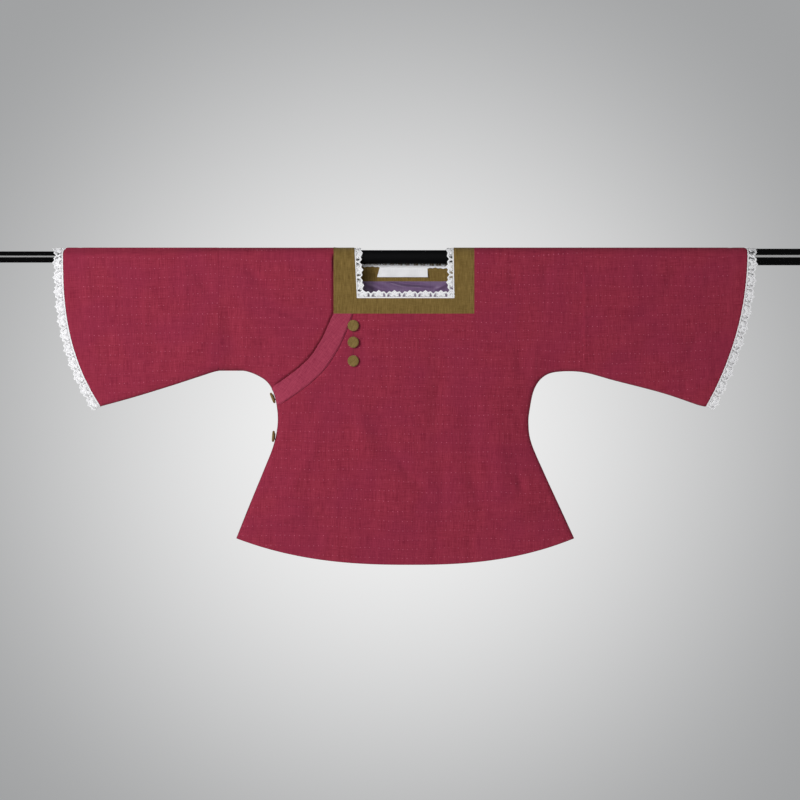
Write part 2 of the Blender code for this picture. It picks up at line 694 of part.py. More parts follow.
def side_buttons():
    """Two buttons on the side edge, facing sideways, each just clear of the edge beside its foot."""
    for spec in SIDE_BUTTONS:
        lean = math.radians(spec.lean)
        way = Vector((-math.cos(lean), 0, -math.sin(lean)))
        edge = place_at(LEFT.seam, spec.z)
        middle = Vector((edge.x, 0, edge.z))
        near = [place_at(LEFT.seam, spec.z + step) for step in (-BUTTON_FOOT_RADIUS, BUTTON_FOOT_RADIUS)]
        reach = max((Vector((p.x, 0, p.z)) - middle).dot(way) for p in near)
        button(spec.name, middle + way * (GAP + reach), way)


def rod():
    """The rod: three lengths of tube, each a step thicker, with plain ends beyond the cuffs."""
    profile = [
        (0.0, ROD_END_X),
        (ROD_THICK_RADIUS - ROD_EDGE_CHAMFER, ROD_END_X),
        (ROD_THICK_RADIUS, ROD_END_X - ROD_EDGE_CHAMFER),
        (ROD_THICK_RADIUS, ROD_MIDDLE_TO_THICK_X),
        (ROD_MIDDLE_RADIUS, ROD_MIDDLE_TO_THICK_X - ROD_EDGE_CHAMFER),
        (ROD_MIDDLE_RADIUS, ROD_THIN_TO_MIDDLE_X),
        (ROD_THIN_RADIUS, ROD_THIN_TO_MIDDLE_X - ROD_EDGE_CHAMFER),
        (ROD_THIN_RADIUS, ROD_EDGE_CHAMFER - ROD_END_X),
        (ROD_THIN_RADIUS - ROD_EDGE_CHAMFER, -ROD_END_X),
        (0.0, -ROD_END_X),
    ]
    return turned("rod", profile, ROD_SIDES, "black_tube", Matrix.Rotation(math.radians(90), 4, "Y"))


def add_materials():
    for name, (colour, roughness) in MATERIALS.items():
        material = bpy.data.materials.new(name)
        material.use_nodes = True
        shader = material.node_tree.nodes["Principled BSDF"]
        shader.inputs["Base Color"].default_value = colour
        shader.inputs["Roughness"].default_value = roughness
        shader.inputs["Metallic"].default_value = 0.0


def main():
    for thing in list(bpy.data.objects):
        bpy.data.objects.remove(thing)
    collection = bpy.data.collections.new("bell_sleeve_top")
    bpy.context.scene.collection.children.link(collection)
    add_materials()
    rod()
    sleeve("sleeve_left", LEFT)
    sleeve("sleeve_right", RIGHT)
    back()
    front()
    facing()
    under_front()
    neck_band()
    cuff_lace("cuff_lace_left", LEFT)
    cuff_lace("cuff_lace_right", RIGHT)
    neck_lace()
    back_neck_lace()
    label()
    lining()
    chest_buttons()
    side_buttons()


main()
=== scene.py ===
"""The finish of a lined bell-sleeve top on a rod: fine cloth, pierced lace and covered buttons.

Metres, +Z up, the front faces -Y, and the origin is on the rod's axis at the middle of the neck.
Cloth is drawn flat as it is cut: x runs across, and w is the drop below the shoulder fold, which is
positive on the front.
"""

import math

import bmesh
import bpy
import numpy as np
from mathutils import Matrix, Vector


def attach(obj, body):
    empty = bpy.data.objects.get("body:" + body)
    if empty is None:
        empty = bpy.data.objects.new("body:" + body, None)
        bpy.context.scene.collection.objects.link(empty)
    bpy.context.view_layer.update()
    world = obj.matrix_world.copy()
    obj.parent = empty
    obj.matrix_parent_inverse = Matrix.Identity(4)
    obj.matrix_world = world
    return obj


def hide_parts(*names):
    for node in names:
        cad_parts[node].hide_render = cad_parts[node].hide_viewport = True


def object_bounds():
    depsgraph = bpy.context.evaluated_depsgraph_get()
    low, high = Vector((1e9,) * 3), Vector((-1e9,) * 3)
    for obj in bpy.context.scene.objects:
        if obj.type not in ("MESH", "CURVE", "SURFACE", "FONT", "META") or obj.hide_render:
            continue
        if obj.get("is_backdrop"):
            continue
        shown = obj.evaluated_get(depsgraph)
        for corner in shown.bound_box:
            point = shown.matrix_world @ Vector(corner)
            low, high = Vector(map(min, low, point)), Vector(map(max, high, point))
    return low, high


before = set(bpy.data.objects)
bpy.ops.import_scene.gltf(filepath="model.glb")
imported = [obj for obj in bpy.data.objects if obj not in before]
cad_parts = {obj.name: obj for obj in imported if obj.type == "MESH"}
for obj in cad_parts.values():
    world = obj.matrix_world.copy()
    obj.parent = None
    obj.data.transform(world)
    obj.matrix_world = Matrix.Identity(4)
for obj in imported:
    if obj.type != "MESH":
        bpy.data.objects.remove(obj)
cad_low, cad_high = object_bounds()


# The rod: three steel tubes that slide into each other. The thin and the thick one are stove-enamelled
# gloss black, and the middle one has a dull grip sleeve. Each wider tube starts with a rolled lip, and
# plastic plugs close the ends.

THIN_RADIUS, MIDDLE_RADIUS, THICK_RADIUS = 0.0090, 0.0110, 0.0133
ROD_END, THIN_TO_MIDDLE, MIDDLE_TO_THICK = 0.680, -0.330, 0.170
ROD_LIP, ROD_SIDES = 0.00015, 96
GRIP_BLACK, SCUFF_GREY = "08080a", "3c3c42"


def linear(colour):
    """An sRGB hex colour as linear red, green, blue and a full alpha."""
    parts = [int(colour[i:i + 2], 16) / 255 for i in (0, 2, 4)]
    return (*(p / 12.92 if p <= 0.04045 else ((p + 0.055) / 1.055) ** 2.4 for p in parts), 1)


def add_node(tree, kind, inputs=None, **settings):
    """Adds a shader node with its settings, and gives each named input a value or a link."""
    made = tree.nodes.new("ShaderNode" + kind)
    for setting, value in settings.items():
        setattr(made, setting, value)
    for socket, value in (inputs or {}).items():
        if isinstance(value, bpy.types.NodeSocket):
            tree.links.new(value, made.inputs[socket])
        else:
            made.inputs[socket].default_value = value
    return made


def new_material(name, colour, roughness, constants=None):
    """A material with its plain values set. Returns it, its node tree and its shader."""
    made = bpy.data.materials.new(name)
    made.use_nodes = True
    shader = made.node_tree.nodes["Principled BSDF"]
    shader.inputs["Base Color"].default_value = linear(colour)
    shader.inputs["Roughness"].default_value = roughness
    for socket, value in (constants or {}).items():
        shader.inputs[socket].default_value = value
    return made, made.node_tree, shader


def finished_mesh(name, bm):
    """Ends a bmesh as a mesh."""
    mesh = bpy.data.meshes.new(name)
    bm.to_mesh(mesh)
    bm.free()
    return mesh


def add_piece(name, mesh, materials, stands_for=(), sharp=40):
    """Makes a mesh a shown piece of the garment, shaded smooth up to the sharp angle."""
    for material in materials:
        mesh.materials.append(material)
    mesh.shade_smooth()
    mesh.set_sharp_from_angle(angle=math.radians(sharp))
    made = bpy.data.objects.new(name, mesh)
    bpy.context.scene.collection.objects.link(made)
    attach(made, "root")
    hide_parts(*stands_for)
    return made


def turned(bm, profile, axis, steps):
    """Spins a profile of points round an axis into a closed turned shape."""
    verts = [bm.verts.new(point) for point in profile]
    edges = [bm.edges.new(pair) for pair in zip(verts, verts[1:])]
    bmesh.ops.spin(bm, geom=[*verts, *edges], cent=(0, 0, 0), axis=axis, angle=math.tau, steps=steps,
                   use_merge=True)
    bmesh.ops.remove_doubles(bm, verts=bm.verts, dist=0.00001)
    bmesh.ops.recalc_face_normals(bm, faces=bm.faces)


# Stove enamel on steel: a clear gloss with faint lengthwise rub marks.
enamel, tree, shader = new_material("stove_enamel_on_steel", "040405", 0.1,
                                    {"Specular IOR Level": 0.8, "IOR": 2.2})
place = add_node(tree, "TexCoord").outputs["Object"]
along = add_node(tree, "Mapping", {"Vector": place, "Scale": (14, 900, 900)})
rubs = add_node(tree, "TexNoise", {"Vector": along.outputs[0], "Scale": 1.0, "Detail": 4})
gloss = add_node(tree, "MapRange", {"Value": rubs.outputs[0], 1: 0.35, 2: 0.8, 3: 0.08, 4: 0.12})
tree.links.new(gloss.outputs[0], shader.inputs["Roughness"])
dust = add_node(tree, "TexNoise", {"Vector": place, "Scale": 320.0, "Detail": 2})
skin = add_node(tree, "Bump", {"Height": dust.outputs[0], "Distance": 0.00001, "Strength": 0.5})
tree.links.new(skin.outputs[0], shader.inputs["Normal"])

# Matt grip sleeve: soft black rubber that swallows light, with pale scuffs.
grip, tree, shader = new_material("matt_rubber_grip", GRIP_BLACK, 0.75, {"Specular IOR Level": 0.12})
place = add_node(tree, "TexCoord").outputs["Object"]
streak = add_node(tree, "Mapping", {"Vector": place, "Scale": (60, 420, 420), "Rotation": (0, 0, 0.5)})
scuffs = add_node(tree, "TexNoise", {"Vector": streak.outputs[0], "Scale": 1.0, "Detail": 5})
worn = add_node(tree, "MapRange", {"Value": scuffs.outputs[0], 1: 0.64, 2: 0.78, 3: 0.0, 4: 0.3})
shade = add_node(tree, "Mix", {0: worn.outputs[0], 6: linear(GRIP_BLACK), 7: linear(SCUFF_GREY)},
                 data_type="RGBA")
tree.links.new(shade.outputs[2], shader.inputs["Base Color"])
skin = add_node(tree, "Bump", {"Height": scuffs.outputs[0], "Distance": 0.0001, "Strength": 0.4})
tree.links.new(skin.outputs[0], shader.inputs["Normal"])


def plugged_end(radius):
    """The profile of a tube's rounded end, from its plug out: the run from the end, and the radius."""
    return [(0.0008, 0), (0.0008, radius - 0.0018), (0, radius - 0.0012), (0, radius - 0.0007),
            (0.0003, radius - 0.0002), (0.0010, radius), (0.0030, radius)]


def lip(at, thin, wide, rounding, stop, low):
    """The profile of the step to a wider tube, whose rolled lip stays high up to stop and ends at low."""
    return [(at - 0.0020, thin), (at, thin), (at, wide - rounding), (at + rounding, wide),
            (at + 2 * rounding, wide + ROD_LIP), (at + stop, wide + ROD_LIP), (at + low, wide),
            (at + low + 0.0020, wide)]


profile = [(run - ROD_END, radius) for run, radius in plugged_end(THIN_RADIUS)]
profile += lip(THIN_TO_MIDDLE, THIN_RADIUS, MIDDLE_RADIUS, 0.0005, 0.0040, 0.0048)
profile += lip(MIDDLE_TO_THICK, MIDDLE_RADIUS, THICK_RADIUS, 0.0006, 0.0045, 0.0055)
profile += [(ROD_END - run, radius) for run, radius in reversed(plugged_end(THICK_RADIUS))]
bm = bmesh.new()
turned(bm, [(x, 0, radius) for x, radius in profile], (1, 0, 0), ROD_SIDES)
for face in bm.faces:
    at = face.calc_center_median().x + 0.0001
    face.material_index = int(THIN_TO_MIDDLE < at < MIDDLE_TO_THICK)
mesh = finished_mesh("rod_tubes", bm)
rod = add_piece("rod_tubes", mesh, [enamel, grip], ["rod"], sharp=30)


# The sleeves: each one cloth, folded over at the shoulder line, closed under the arm and lined. They are
# cut from cotton woven with thick and thin threads and rows of small raised dots, and end in a wide bell
# cuff with a turned-in edge.

# The wall of cloth, the air between layers, and the slit that stands for a sewn seam
WALL, CLEAR, SEAM = 0.0015, 0.0003, 0.00004
# The shoulder fold: its height over the rod's axis, the cuts on each side of it, the share of it in which
# the wall turns to point up, and where the cuff's edge has points
FOLD = THICK_RADIUS + CLEAR
FOLD_STEPS, CREST_SHARE = 9, 0.25
FOLD_SHARES = (0, 0.03, 0.07, 0.13, 0.21, 0.31, 0.43, 0.57, 0.72, 0.88)
# How the cloth is drawn in towards its under seams and rolls over them, rounder on the left sleeve, and
# the share of its depth that is left at the hem
SEAM_TAPER, SEAM_ROLL, LEFT_SLEEVE_ROLL = 0.070, 0.006, 0.011
SEAM_STEEP, LEFT_SLEEVE_STEEPER = 0.5, 0.3
LEFT_SLEEVE_START, LEFT_SLEEVE_STOP = (-0.500, -0.440), (-0.300, -0.240)
HEM_DEPTH_SHARE, FOLDS_START = 0.62, 0.022
# The cuffs: half their span, their lowest point, how many points half of an edge has, the rounded corner,
# and the sweep and power of each side
CUFF_X, CUFF_BOTTOM, CUFF_STEPS = 0.547, -0.239, 52
CUFF_CORNER, CUFF_CORNER_DROP = 0.0060, 0.75 * FOLD
CUFF_SWEEPS = {-1: (0.0600, 2.75), 1: (0.0660, 2.1)}
# The hem's lowest height, and the place and height of its corners
HEM_BOTTOM, HEM_CORNER_X, HEM_CORNER = -0.4923, 0.2703, -0.4500
# Edges: the rings cut beside them, how far a free and a sewn one are rounded, what counts as free, and the
# least share of the wall that is left there
EDGE_RINGS = (0.0002, 0.0004, 0.0008, 0.0014)
FREE_ROUND, SEAM_ROUND, FREE_REACH = 0.0028, 0.0004, 0.004
EDGE_LEAST, SEAM_LEAST = 0.06, 0.9
# Edges that are turned in: the depths, the groove of the turning, and how the hem's cloth dips there
CUFF_TURN, HEM_TURN = 0.027, 0.046
TURN_GROOVE, TURN_GROOVE_WIDTH = 0.0005, 0.0022
HEM_DIP, HEM_DIP_FADE = 0.0020, 0.030
# Sewing: the ripples beside a seam, and the ditch of a sunk one
PUCKER, PUCKER_RUN = 0.00010, 0.006
DITCH, DITCH_WIDTH = 0.0014, 0.0016
# Between which places the overlapping front comes to stand out: across, down, and below the fold
LAP_ACROSS, LAP_DOWN = (-0.020, 0.060), (-0.275, -0.240)
LAP_TOP, LAP_START = 0.004, 0.032
# Across: the neck band's left edge and the two sleeve seams
BAND_LEFT, LEFT_SLEEVE_SEAM, RIGHT_SLEEVE_SEAM = -0.1144, -0.2973, 0.2834

LEFT_SEAM_POINTS = (
    (-0.4870, CUFF_BOTTOM), (-0.4341, -0.2244), (-0.3728, -0.2056), (-0.3269, -0.1906),
    (LEFT_SLEEVE_SEAM, -0.1820), (-0.2643, -0.1814), (-0.2413, -0.1872), (-0.2200, -0.2008),
    (-0.2085, -0.2240), (-0.2038, -0.2608), (-0.2102, -0.2995), (-0.2270, -0.3430),
    (-0.2459, -0.3890), (-HEM_CORNER_X, HEM_CORNER))
RIGHT_SEAM_POINTS = (
    (0.4810, CUFF_BOTTOM), (0.4700, -0.2374), (0.4118, -0.2178), (0.3354, -0.1979),
    (RIGHT_SLEEVE_SEAM, -0.1843), (0.2405, -0.1842), (0.2190, -0.1935), (0.2060, -0.2130),
    (0.1995, -0.2425), (0.1973, -0.2666), (0.2019, -0.2976), (0.2234, -0.3480),
    (0.2466, -0.3984), (HEM_CORNER_X, HEM_CORNER))

# Soft folds and finer creases: middle x and z, half run, half width, lean in degrees, rise
FRONT_FOLDS = (
    (-0.350, -0.120, 0.080, 0.026, -52, 0.0016), (-0.440, -0.150, 0.070, 0.022, -24, 0.0012),
    (0.345, -0.110, 0.085, 0.028, 50, 0.0014), (0.430, -0.160, 0.060, 0.022, 20, 0.0012),
    (-0.120, -0.340, 0.100, 0.024, -10, 0.0012), (-0.020, -0.400, 0.085, 0.026, 2, 0.0013),
    (0.030, -0.210, 0.070, 0.030, 14, 0.0011), (-0.279, -0.118, 0.055, 0.013, -6, -0.0036),
    (-0.252, -0.115, 0.050, 0.010, 0, 0.0004), (-0.236, -0.036, 0.030, 0.010, -36, -0.0030),
    (-0.176, -0.094, 0.036, 0.006, -72, -0.0024), (-0.184, -0.122, 0.036, 0.006, 90, -0.0018),
    (-0.224, -0.136, 0.014, 0.007, 80, -0.0030), (-0.230, -0.164, 0.018, 0.007, 80, -0.0026),
    (-0.192, -0.150, 0.024, 0.008, 100, 0.0015), (-0.322, -0.042, 0.024, 0.009, -38, -0.0022),
    (-0.352, -0.040, 0.050, 0.006, 0, 0.0012), (-0.415, -0.080, 0.040, 0.007, -3, 0.0013),
    (-0.382, -0.153, 0.016, 0.007, 35, 0.0016), (-0.352, -0.160, 0.018, 0.006, 30, 0.0015),
    (-0.326, -0.140, 0.020, 0.006, 35, 0.0015), (-0.395, -0.176, 0.012, 0.006, 50, 0.0014),
    (-0.508, -0.050, 0.035, 0.010, -8, 0.0015), (-0.490, -0.160, 0.040, 0.008, -20, 0.0015),
    (-0.405, -0.112, 0.026, 0.012, -80, -0.0012), (-0.309, -0.160, 0.018, 0.006, 4, 0.0013),
    (0.428, -0.034, 0.026, 0.010, 24, -0.0022), (0.384, -0.092, 0.042, 0.012, 54, -0.0026),
    (0.347, -0.172, 0.050, 0.007, 74, -0.0028), (0.368, -0.128, 0.030, 0.014, 60, 0.0020),
    (0.460, -0.142, 0.014, 0.008, 45, -0.0015), (0.446, -0.208, 0.010, 0.007, 10, -0.0014),
    (0.512, -0.118, 0.020, 0.006, 70, -0.0012), (0.2875, -0.090, 0.120, 0.0035, 0, 0.0010),
    (0.172, -0.030, 0.022, 0.008, -15, -0.0024), (0.226, -0.030, 0.026, 0.008, 4, -0.0015),
    (0.184, -0.166, 0.026, 0.009, -8, -0.0020), (0.206, -0.170, 0.022, 0.005, 4, 0.0011),
    (0.364, -0.030, 0.030, 0.008, 2, 0.0013), (0.472, -0.036, 0.030, 0.008, 3, 0.0013),
    (0.484, -0.190, 0.032, 0.008, 4, 0.0013), (0.051, -0.220, 0.090, 0.010, 1, -0.0018),
    (0.058, -0.365, 0.060, 0.012, 2, -0.0020), (0.106, -0.300, 0.100, 0.014, -3, -0.0018),
    (0.114, -0.374, 0.030, 0.009, -16, -0.0018), (0.152, -0.330, 0.070, 0.013, -2, 0.0022),
    (0.184, -0.362, 0.014, 0.006, -18, -0.0036), (0.190, -0.405, 0.022, 0.012, 75, 0.0026),
    (-0.066, -0.285, 0.055, 0.016, -12, 0.0040), (0.000, -0.338, 0.055, 0.009, -38, -0.0024),
    (-0.168, -0.346, 0.060, 0.012, 26, 0.0026), (-0.176, -0.412, 0.030, 0.012, 72, 0.0034),
    (-0.070, -0.135, 0.030, 0.010, 0, -0.0014), (-0.012, -0.108, 0.040, 0.006, 90, 0.0016),
    (-0.140, -0.232, 0.030, 0.010, 30, -0.0016), (-0.192, -0.262, 0.014, 0.004, 70, 0.0008),
    (-0.188, -0.300, 0.016, 0.005, 62, -0.0010), (-0.196, -0.342, 0.016, 0.005, 80, 0.0008),
    (0.105, -0.464, 0.022, 0.006, 0, -0.0013), (0.050, -0.462, 0.024, 0.006, 0, -0.0013),
    (-0.054, -0.458, 0.022, 0.006, -2, -0.0010), (-0.140, -0.450, 0.020, 0.006, 8, -0.0010),
    (-0.0829, -0.110, 0.010, 0.010, 0, -0.0013), (-0.0829, -0.137, 0.010, 0.010, 0, -0.0013),
    (-0.0829, -0.166, 0.010, 0.010, 0, -0.0013), (-0.368, -0.1976, 0.034, 0.0028, 72, -0.0018))
BACK_FOLDS = (
    (-0.370, -0.130, 0.075, 0.026, -46, 0.0016), (-0.225, -0.120, 0.055, 0.020, 28, 0.0013),
    (0.330, -0.120, 0.080, 0.028, 44, 0.0016), (0.440, -0.140, 0.065, 0.022, 26, 0.0012),
    (0.220, -0.110, 0.055, 0.018, -34, 0.0012), (-0.105, -0.370, 0.100, 0.026, -8, 0.0016),
    (0.010, -0.300, 0.090, 0.028, 4, 0.0012), (-0.285, -0.110, 0.050, 0.013, -14, -0.0034),
    (-0.255, -0.100, 0.045, 0.010, -8, 0.0016), (-0.400, -0.085, 0.050, 0.012, -40, -0.0026),
    (-0.340, -0.165, 0.034, 0.006, -68, -0.0016), (-0.480, -0.120, 0.050, 0.009, -10, 0.0014),
    (-0.430, -0.170, 0.020, 0.007, 40, 0.0014), (-0.210, -0.060, 0.028, 0.009, -38, -0.0022),
    (-0.180, -0.120, 0.032, 0.006, 84, -0.0016), (0.292, -0.120, 0.050, 0.012, 12, -0.0030),
    (0.385, -0.090, 0.050, 0.012, 40, 0.0024), (0.470, -0.100, 0.055, 0.009, 12, 0.0014),
    (0.335, -0.160, 0.034, 0.006, 64, -0.0016), (0.420, -0.170, 0.018, 0.007, -36, -0.0014),
    (0.205, -0.050, 0.024, 0.008, 20, -0.0018), (-0.060, -0.180, 0.060, 0.012, -16, 0.0020),
    (0.075, -0.170, 0.055, 0.011, 20, 0.0020), (-0.175, -0.330, 0.060, 0.012, 20, 0.0028),
    (-0.040, -0.320, 0.110, 0.012, -2, -0.0028), (0.060, -0.310, 0.100, 0.013, 5, 0.0026),
    (0.125, -0.350, 0.070, 0.012, -8, -0.0022), (0.178, -0.345, 0.050, 0.011, -16, 0.0024),
    (-0.110, -0.400, 0.030, 0.010, 60, 0.0020), (0.020, -0.400, 0.040, 0.009, -36, -0.0020),
    (-0.190, -0.265, 0.016, 0.005, -66, 0.0010), (0.185, -0.270, 0.018, 0.005, 60, -0.0011),
    (0.000, -0.060, 0.050, 0.009, 90, 0.0012), (0.080, -0.462, 0.022, 0.006, 2, -0.0012),
    (-0.070, -0.462, 0.024, 0.006, -2, -0.0012))


def smooth_line(points, step=0.005):
    """A Catmull-Rom line through the points, with a point about every step."""
    known = np.array([points[0], *points, points[-1]], dtype=float)
    line = []
    for a, b, c, d in zip(known, known[1:], known[2:], known[3:]):
        count = max(1, round(np.linalg.norm(c - b) / step))
        t = (np.arange(count) / count)[:, None]
        line.append(0.5 * (2 * b + (c - a) * t + (2 * a - 5 * b + 4 * c - d) * t ** 2
                           + (3 * b - a - 3 * c + d) * t ** 3))
    return np.vstack([*line, known[-1:]])


LEFT_SEAM, RIGHT_SEAM = smooth_line(LEFT_SEAM_POINTS), smooth_line(RIGHT_SEAM_POINTS)


def height_on(line, x):
    """The height of a line at the first place where it passes x."""
    for a, b in zip(line, line[1:]):
        if min(a[0], b[0]) <= x <= max(a[0], b[0]):
            return a[1] + (b[1] - a[1]) * (x - a[0]) / (b[0] - a[0])


def smoothstep(low, high, value):
    """0 up to low, 1 from high on, and a soft rise between them."""
    share = np.clip((value - low) / (high - low), 0, 1)
    return share * share * (3 - 2 * share)


def distance_to(line, x, z):
    """How far places are from a line of points."""
    least = np.full(np.shape(x), 1.0)
    for (ax, az), (bx, bz) in zip(line, line[1:]):
        dx, dz = bx - ax, bz - az
        t = np.clip(((x - ax) * dx + (z - az) * dz) / (dx * dx + dz * dz), 0, 1)
        least = np.minimum(least, np.hypot(x - ax - t * dx, z - az - t * dz))
    return least


def cloth_radius(x):
    """The inside radius of the cloth round the rod, which widens well before each thicker tube."""
    to_middle = smoothstep(THIN_TO_MIDDLE - 0.070, THIN_TO_MIDDLE, x)
    to_thick = smoothstep(THIN_TO_MIDDLE, BAND_LEFT, x)
    radius = THIN_RADIUS + (MIDDLE_RADIUS - THIN_RADIUS) * to_middle
    return radius + (THICK_RADIUS - MIDDLE_RADIUS) * to_thick + CLEAR


def fold_rise(x, z, folds):
    """The height that folds and creases add."""
    rise = np.zeros_like(x)
    for fold_x, fold_z, run, width, lean, height in folds:
        cos, sin = math.cos(math.radians(lean)), math.sin(math.radians(lean))
        along = ((z - fold_z) * cos + (x - fold_x) * sin) / run
        across = ((x - fold_x) * cos - (z - fold_z) * sin) / width
        rise += height * np.exp(-along ** 2 - across ** 2)
    return rise


def under_seam_distance(x, z):
    """How far places are from the under seam and side seam of their half."""
    return np.where(x < 0, distance_to(LEFT_SEAM, x, z), distance_to(RIGHT_SEAM, x, z))


def lift(x, w):
    """How far the overlapping front stands out over the under front."""
    across = 1 - smoothstep(*LAP_ACROSS, x)
    down = smoothstep(*LAP_DOWN, FOLD - w)
    return (WALL + 2 * CLEAR) * across * down * smoothstep(LAP_TOP, LAP_START, w)


def hang(x, w, out):
    """Folds places on the flat cloth over the rod: across, down from the fold, out through the layers."""
    side = np.where(w >= 0, -1.0, 1.0)
    z = FOLD - np.abs(w)
    radius = cloth_radius(x)

    # Over the rod: a straight slope from the crest to the rod, and then round it
    contact = np.arcsin(np.minimum(radius / FOLD, 1))
    straight = np.sqrt(np.maximum(FOLD ** 2 - radius ** 2, 0))
    share = np.minimum(np.abs(w) / FOLD, 1)
    run = share * (straight + radius * contact)
    turn = np.where(run <= straight, contact, contact - (run - straight) / radius)
    depth = np.where(run <= straight, run * np.sin(contact), radius * np.cos(turn))
    rise = np.where(run <= straight, FOLD - run * np.cos(contact), radius * np.sin(turn))
    crest = np.maximum(0, 1 - share / CREST_SHARE)
    away, up = np.cos(turn) * (1 - crest), np.sin(turn) * (1 - crest) + crest
    depth += out * away / np.hypot(away, up)
    rise += out * up / np.hypot(away, up)

    # Below the rod: drawn in towards the under seams and the hem, with the folds and creases
    near = under_seam_distance(x, z)
    left_sleeve = smoothstep(*LEFT_SLEEVE_START, x) * (1 - smoothstep(*LEFT_SLEEVE_STOP, x))
    roll = SEAM_ROLL + (LEFT_SLEEVE_ROLL - SEAM_ROLL) * left_sleeve
    steep = SEAM_STEEP + LEFT_SLEEVE_STEEPER * left_sleeve
    deep = (1 - steep) * (1 - (1 - np.minimum(near / SEAM_TAPER, 1)) ** 2)
    deep += steep * np.sqrt(1 - (1 - np.minimum(near / roll, 1)) ** 2)
    full = radius * (1 - (1 - HEM_DEPTH_SHARE) * z / HEM_BOTTOM)
    folds = np.where(side < 0, fold_rise(x, z, FRONT_FOLDS), fold_rise(x, z, BACK_FOLDS))
    full += folds * smoothstep(0, FOLDS_START, -z)
    below = SEAM / 2 + (full - SEAM / 2) * deep + out

    over = np.abs(w) < FOLD
    return np.column_stack([x, side * np.where(over, depth, below), np.where(over, rise, z)])


def cuff_edge(side, w):
    """The cuff's edge: upright at the shoulder fold, swept in towards the under seam."""
    sweep, power = CUFF_SWEEPS[side]
    return side * (CUFF_X - sweep * (np.abs(w) / (FOLD - CUFF_BOTTOM)) ** power)


def cuff_rounding(w):
    """How far the cuff's corner is rounded back beside the shoulder fold."""
    share = np.maximum(0, 1 - np.abs(w) / CUFF_CORNER_DROP)
    return CUFF_CORNER * (1 - np.sqrt(1 - share * share))


def pucker(x, z, lines, sunk):
    """Small ripples that the sewing draws up beside a seam, and the ditch of a seam that is sunk."""
    rise = np.zeros_like(x)
    waves = np.sin(x * 560 + z * 610) + 0.6 * np.sin(x * 310 - z * 270)
    for line in [*lines, *sunk]:
        rise += PUCKER * np.exp(-distance_to(line, x, z) / PUCKER_RUN) * waves
    for line in sunk:
        rise -= DITCH * np.exp(-(distance_to(line, x, z) / DITCH_WIDTH) ** 2)
    return rise


def cut_cloth(outlines, cell):
    """Cuts flat outlines, which share whole edges, out as one piece: rings along its edge, and cells.

    The layer from_edge keeps each point's run from the edge, up to the last ring. Returns the bmesh and
    the least and greatest x and w.
    """
    bm = bmesh.new()
    for outline in outlines:
        bm.faces.new([bm.verts.new((x, 0, w)) for x, w in outline])
    bmesh.ops.remove_doubles(bm, verts=bm.verts, dist=0.00001)
    from_edge = bm.verts.layers.float.new("from_edge")
    inside, reached = bm.faces[:], 0
    for ring in EDGE_RINGS:
        bmesh.ops.inset_region(bm, faces=inside, thickness=ring, use_boundary=True, use_even_offset=True)
        reached += ring
        for face in inside:
            for vert in face.verts:
                vert[from_edge] = reached
    low = [min(v.co[i] for v in bm.verts) for i in (0, 2)]
    high = [max(v.co[i] for v in bm.verts) for i in (0, 2)]
    cuts = [((1, 0, 0), k * cell) for k in range(math.ceil(low[0] / cell), math.ceil(high[0] / cell))]
    cuts += [((0, 0, 1), FOLD * k / FOLD_STEPS) for k in range(-FOLD_STEPS, FOLD_STEPS + 1)]
    for k in range(1, math.ceil(max(abs(low[1]), abs(high[1])) / cell)):
        cuts += [((0, 0, 1), side * (FOLD + k * cell)) for side in (-1, 1)]
    for axis, at in cuts:
        if low[axis[2]] < at < high[axis[2]]:
            bmesh.ops.bisect_plane(bm, geom=[*bm.verts, *bm.edges, *bm.faces], dist=0.00004,
                                   plane_co=Vector(axis) * at, plane_no=axis)
    bmesh.ops.triangulate(bm, faces=[f for f in bm.faces if len(f.verts) > 4])
    return bm, low, high


def map_cut(mesh, places):
    """Gives a mesh the UV map "cut" from a flat place for each of its points."""
    corner = np.zeros(len(mesh.loops), dtype=np.int32)
    mesh.loops.foreach_get("vertex_index", corner)
    mesh.uv_layers.new(name="cut").data.foreach_set("uv", places[corner].ravel())


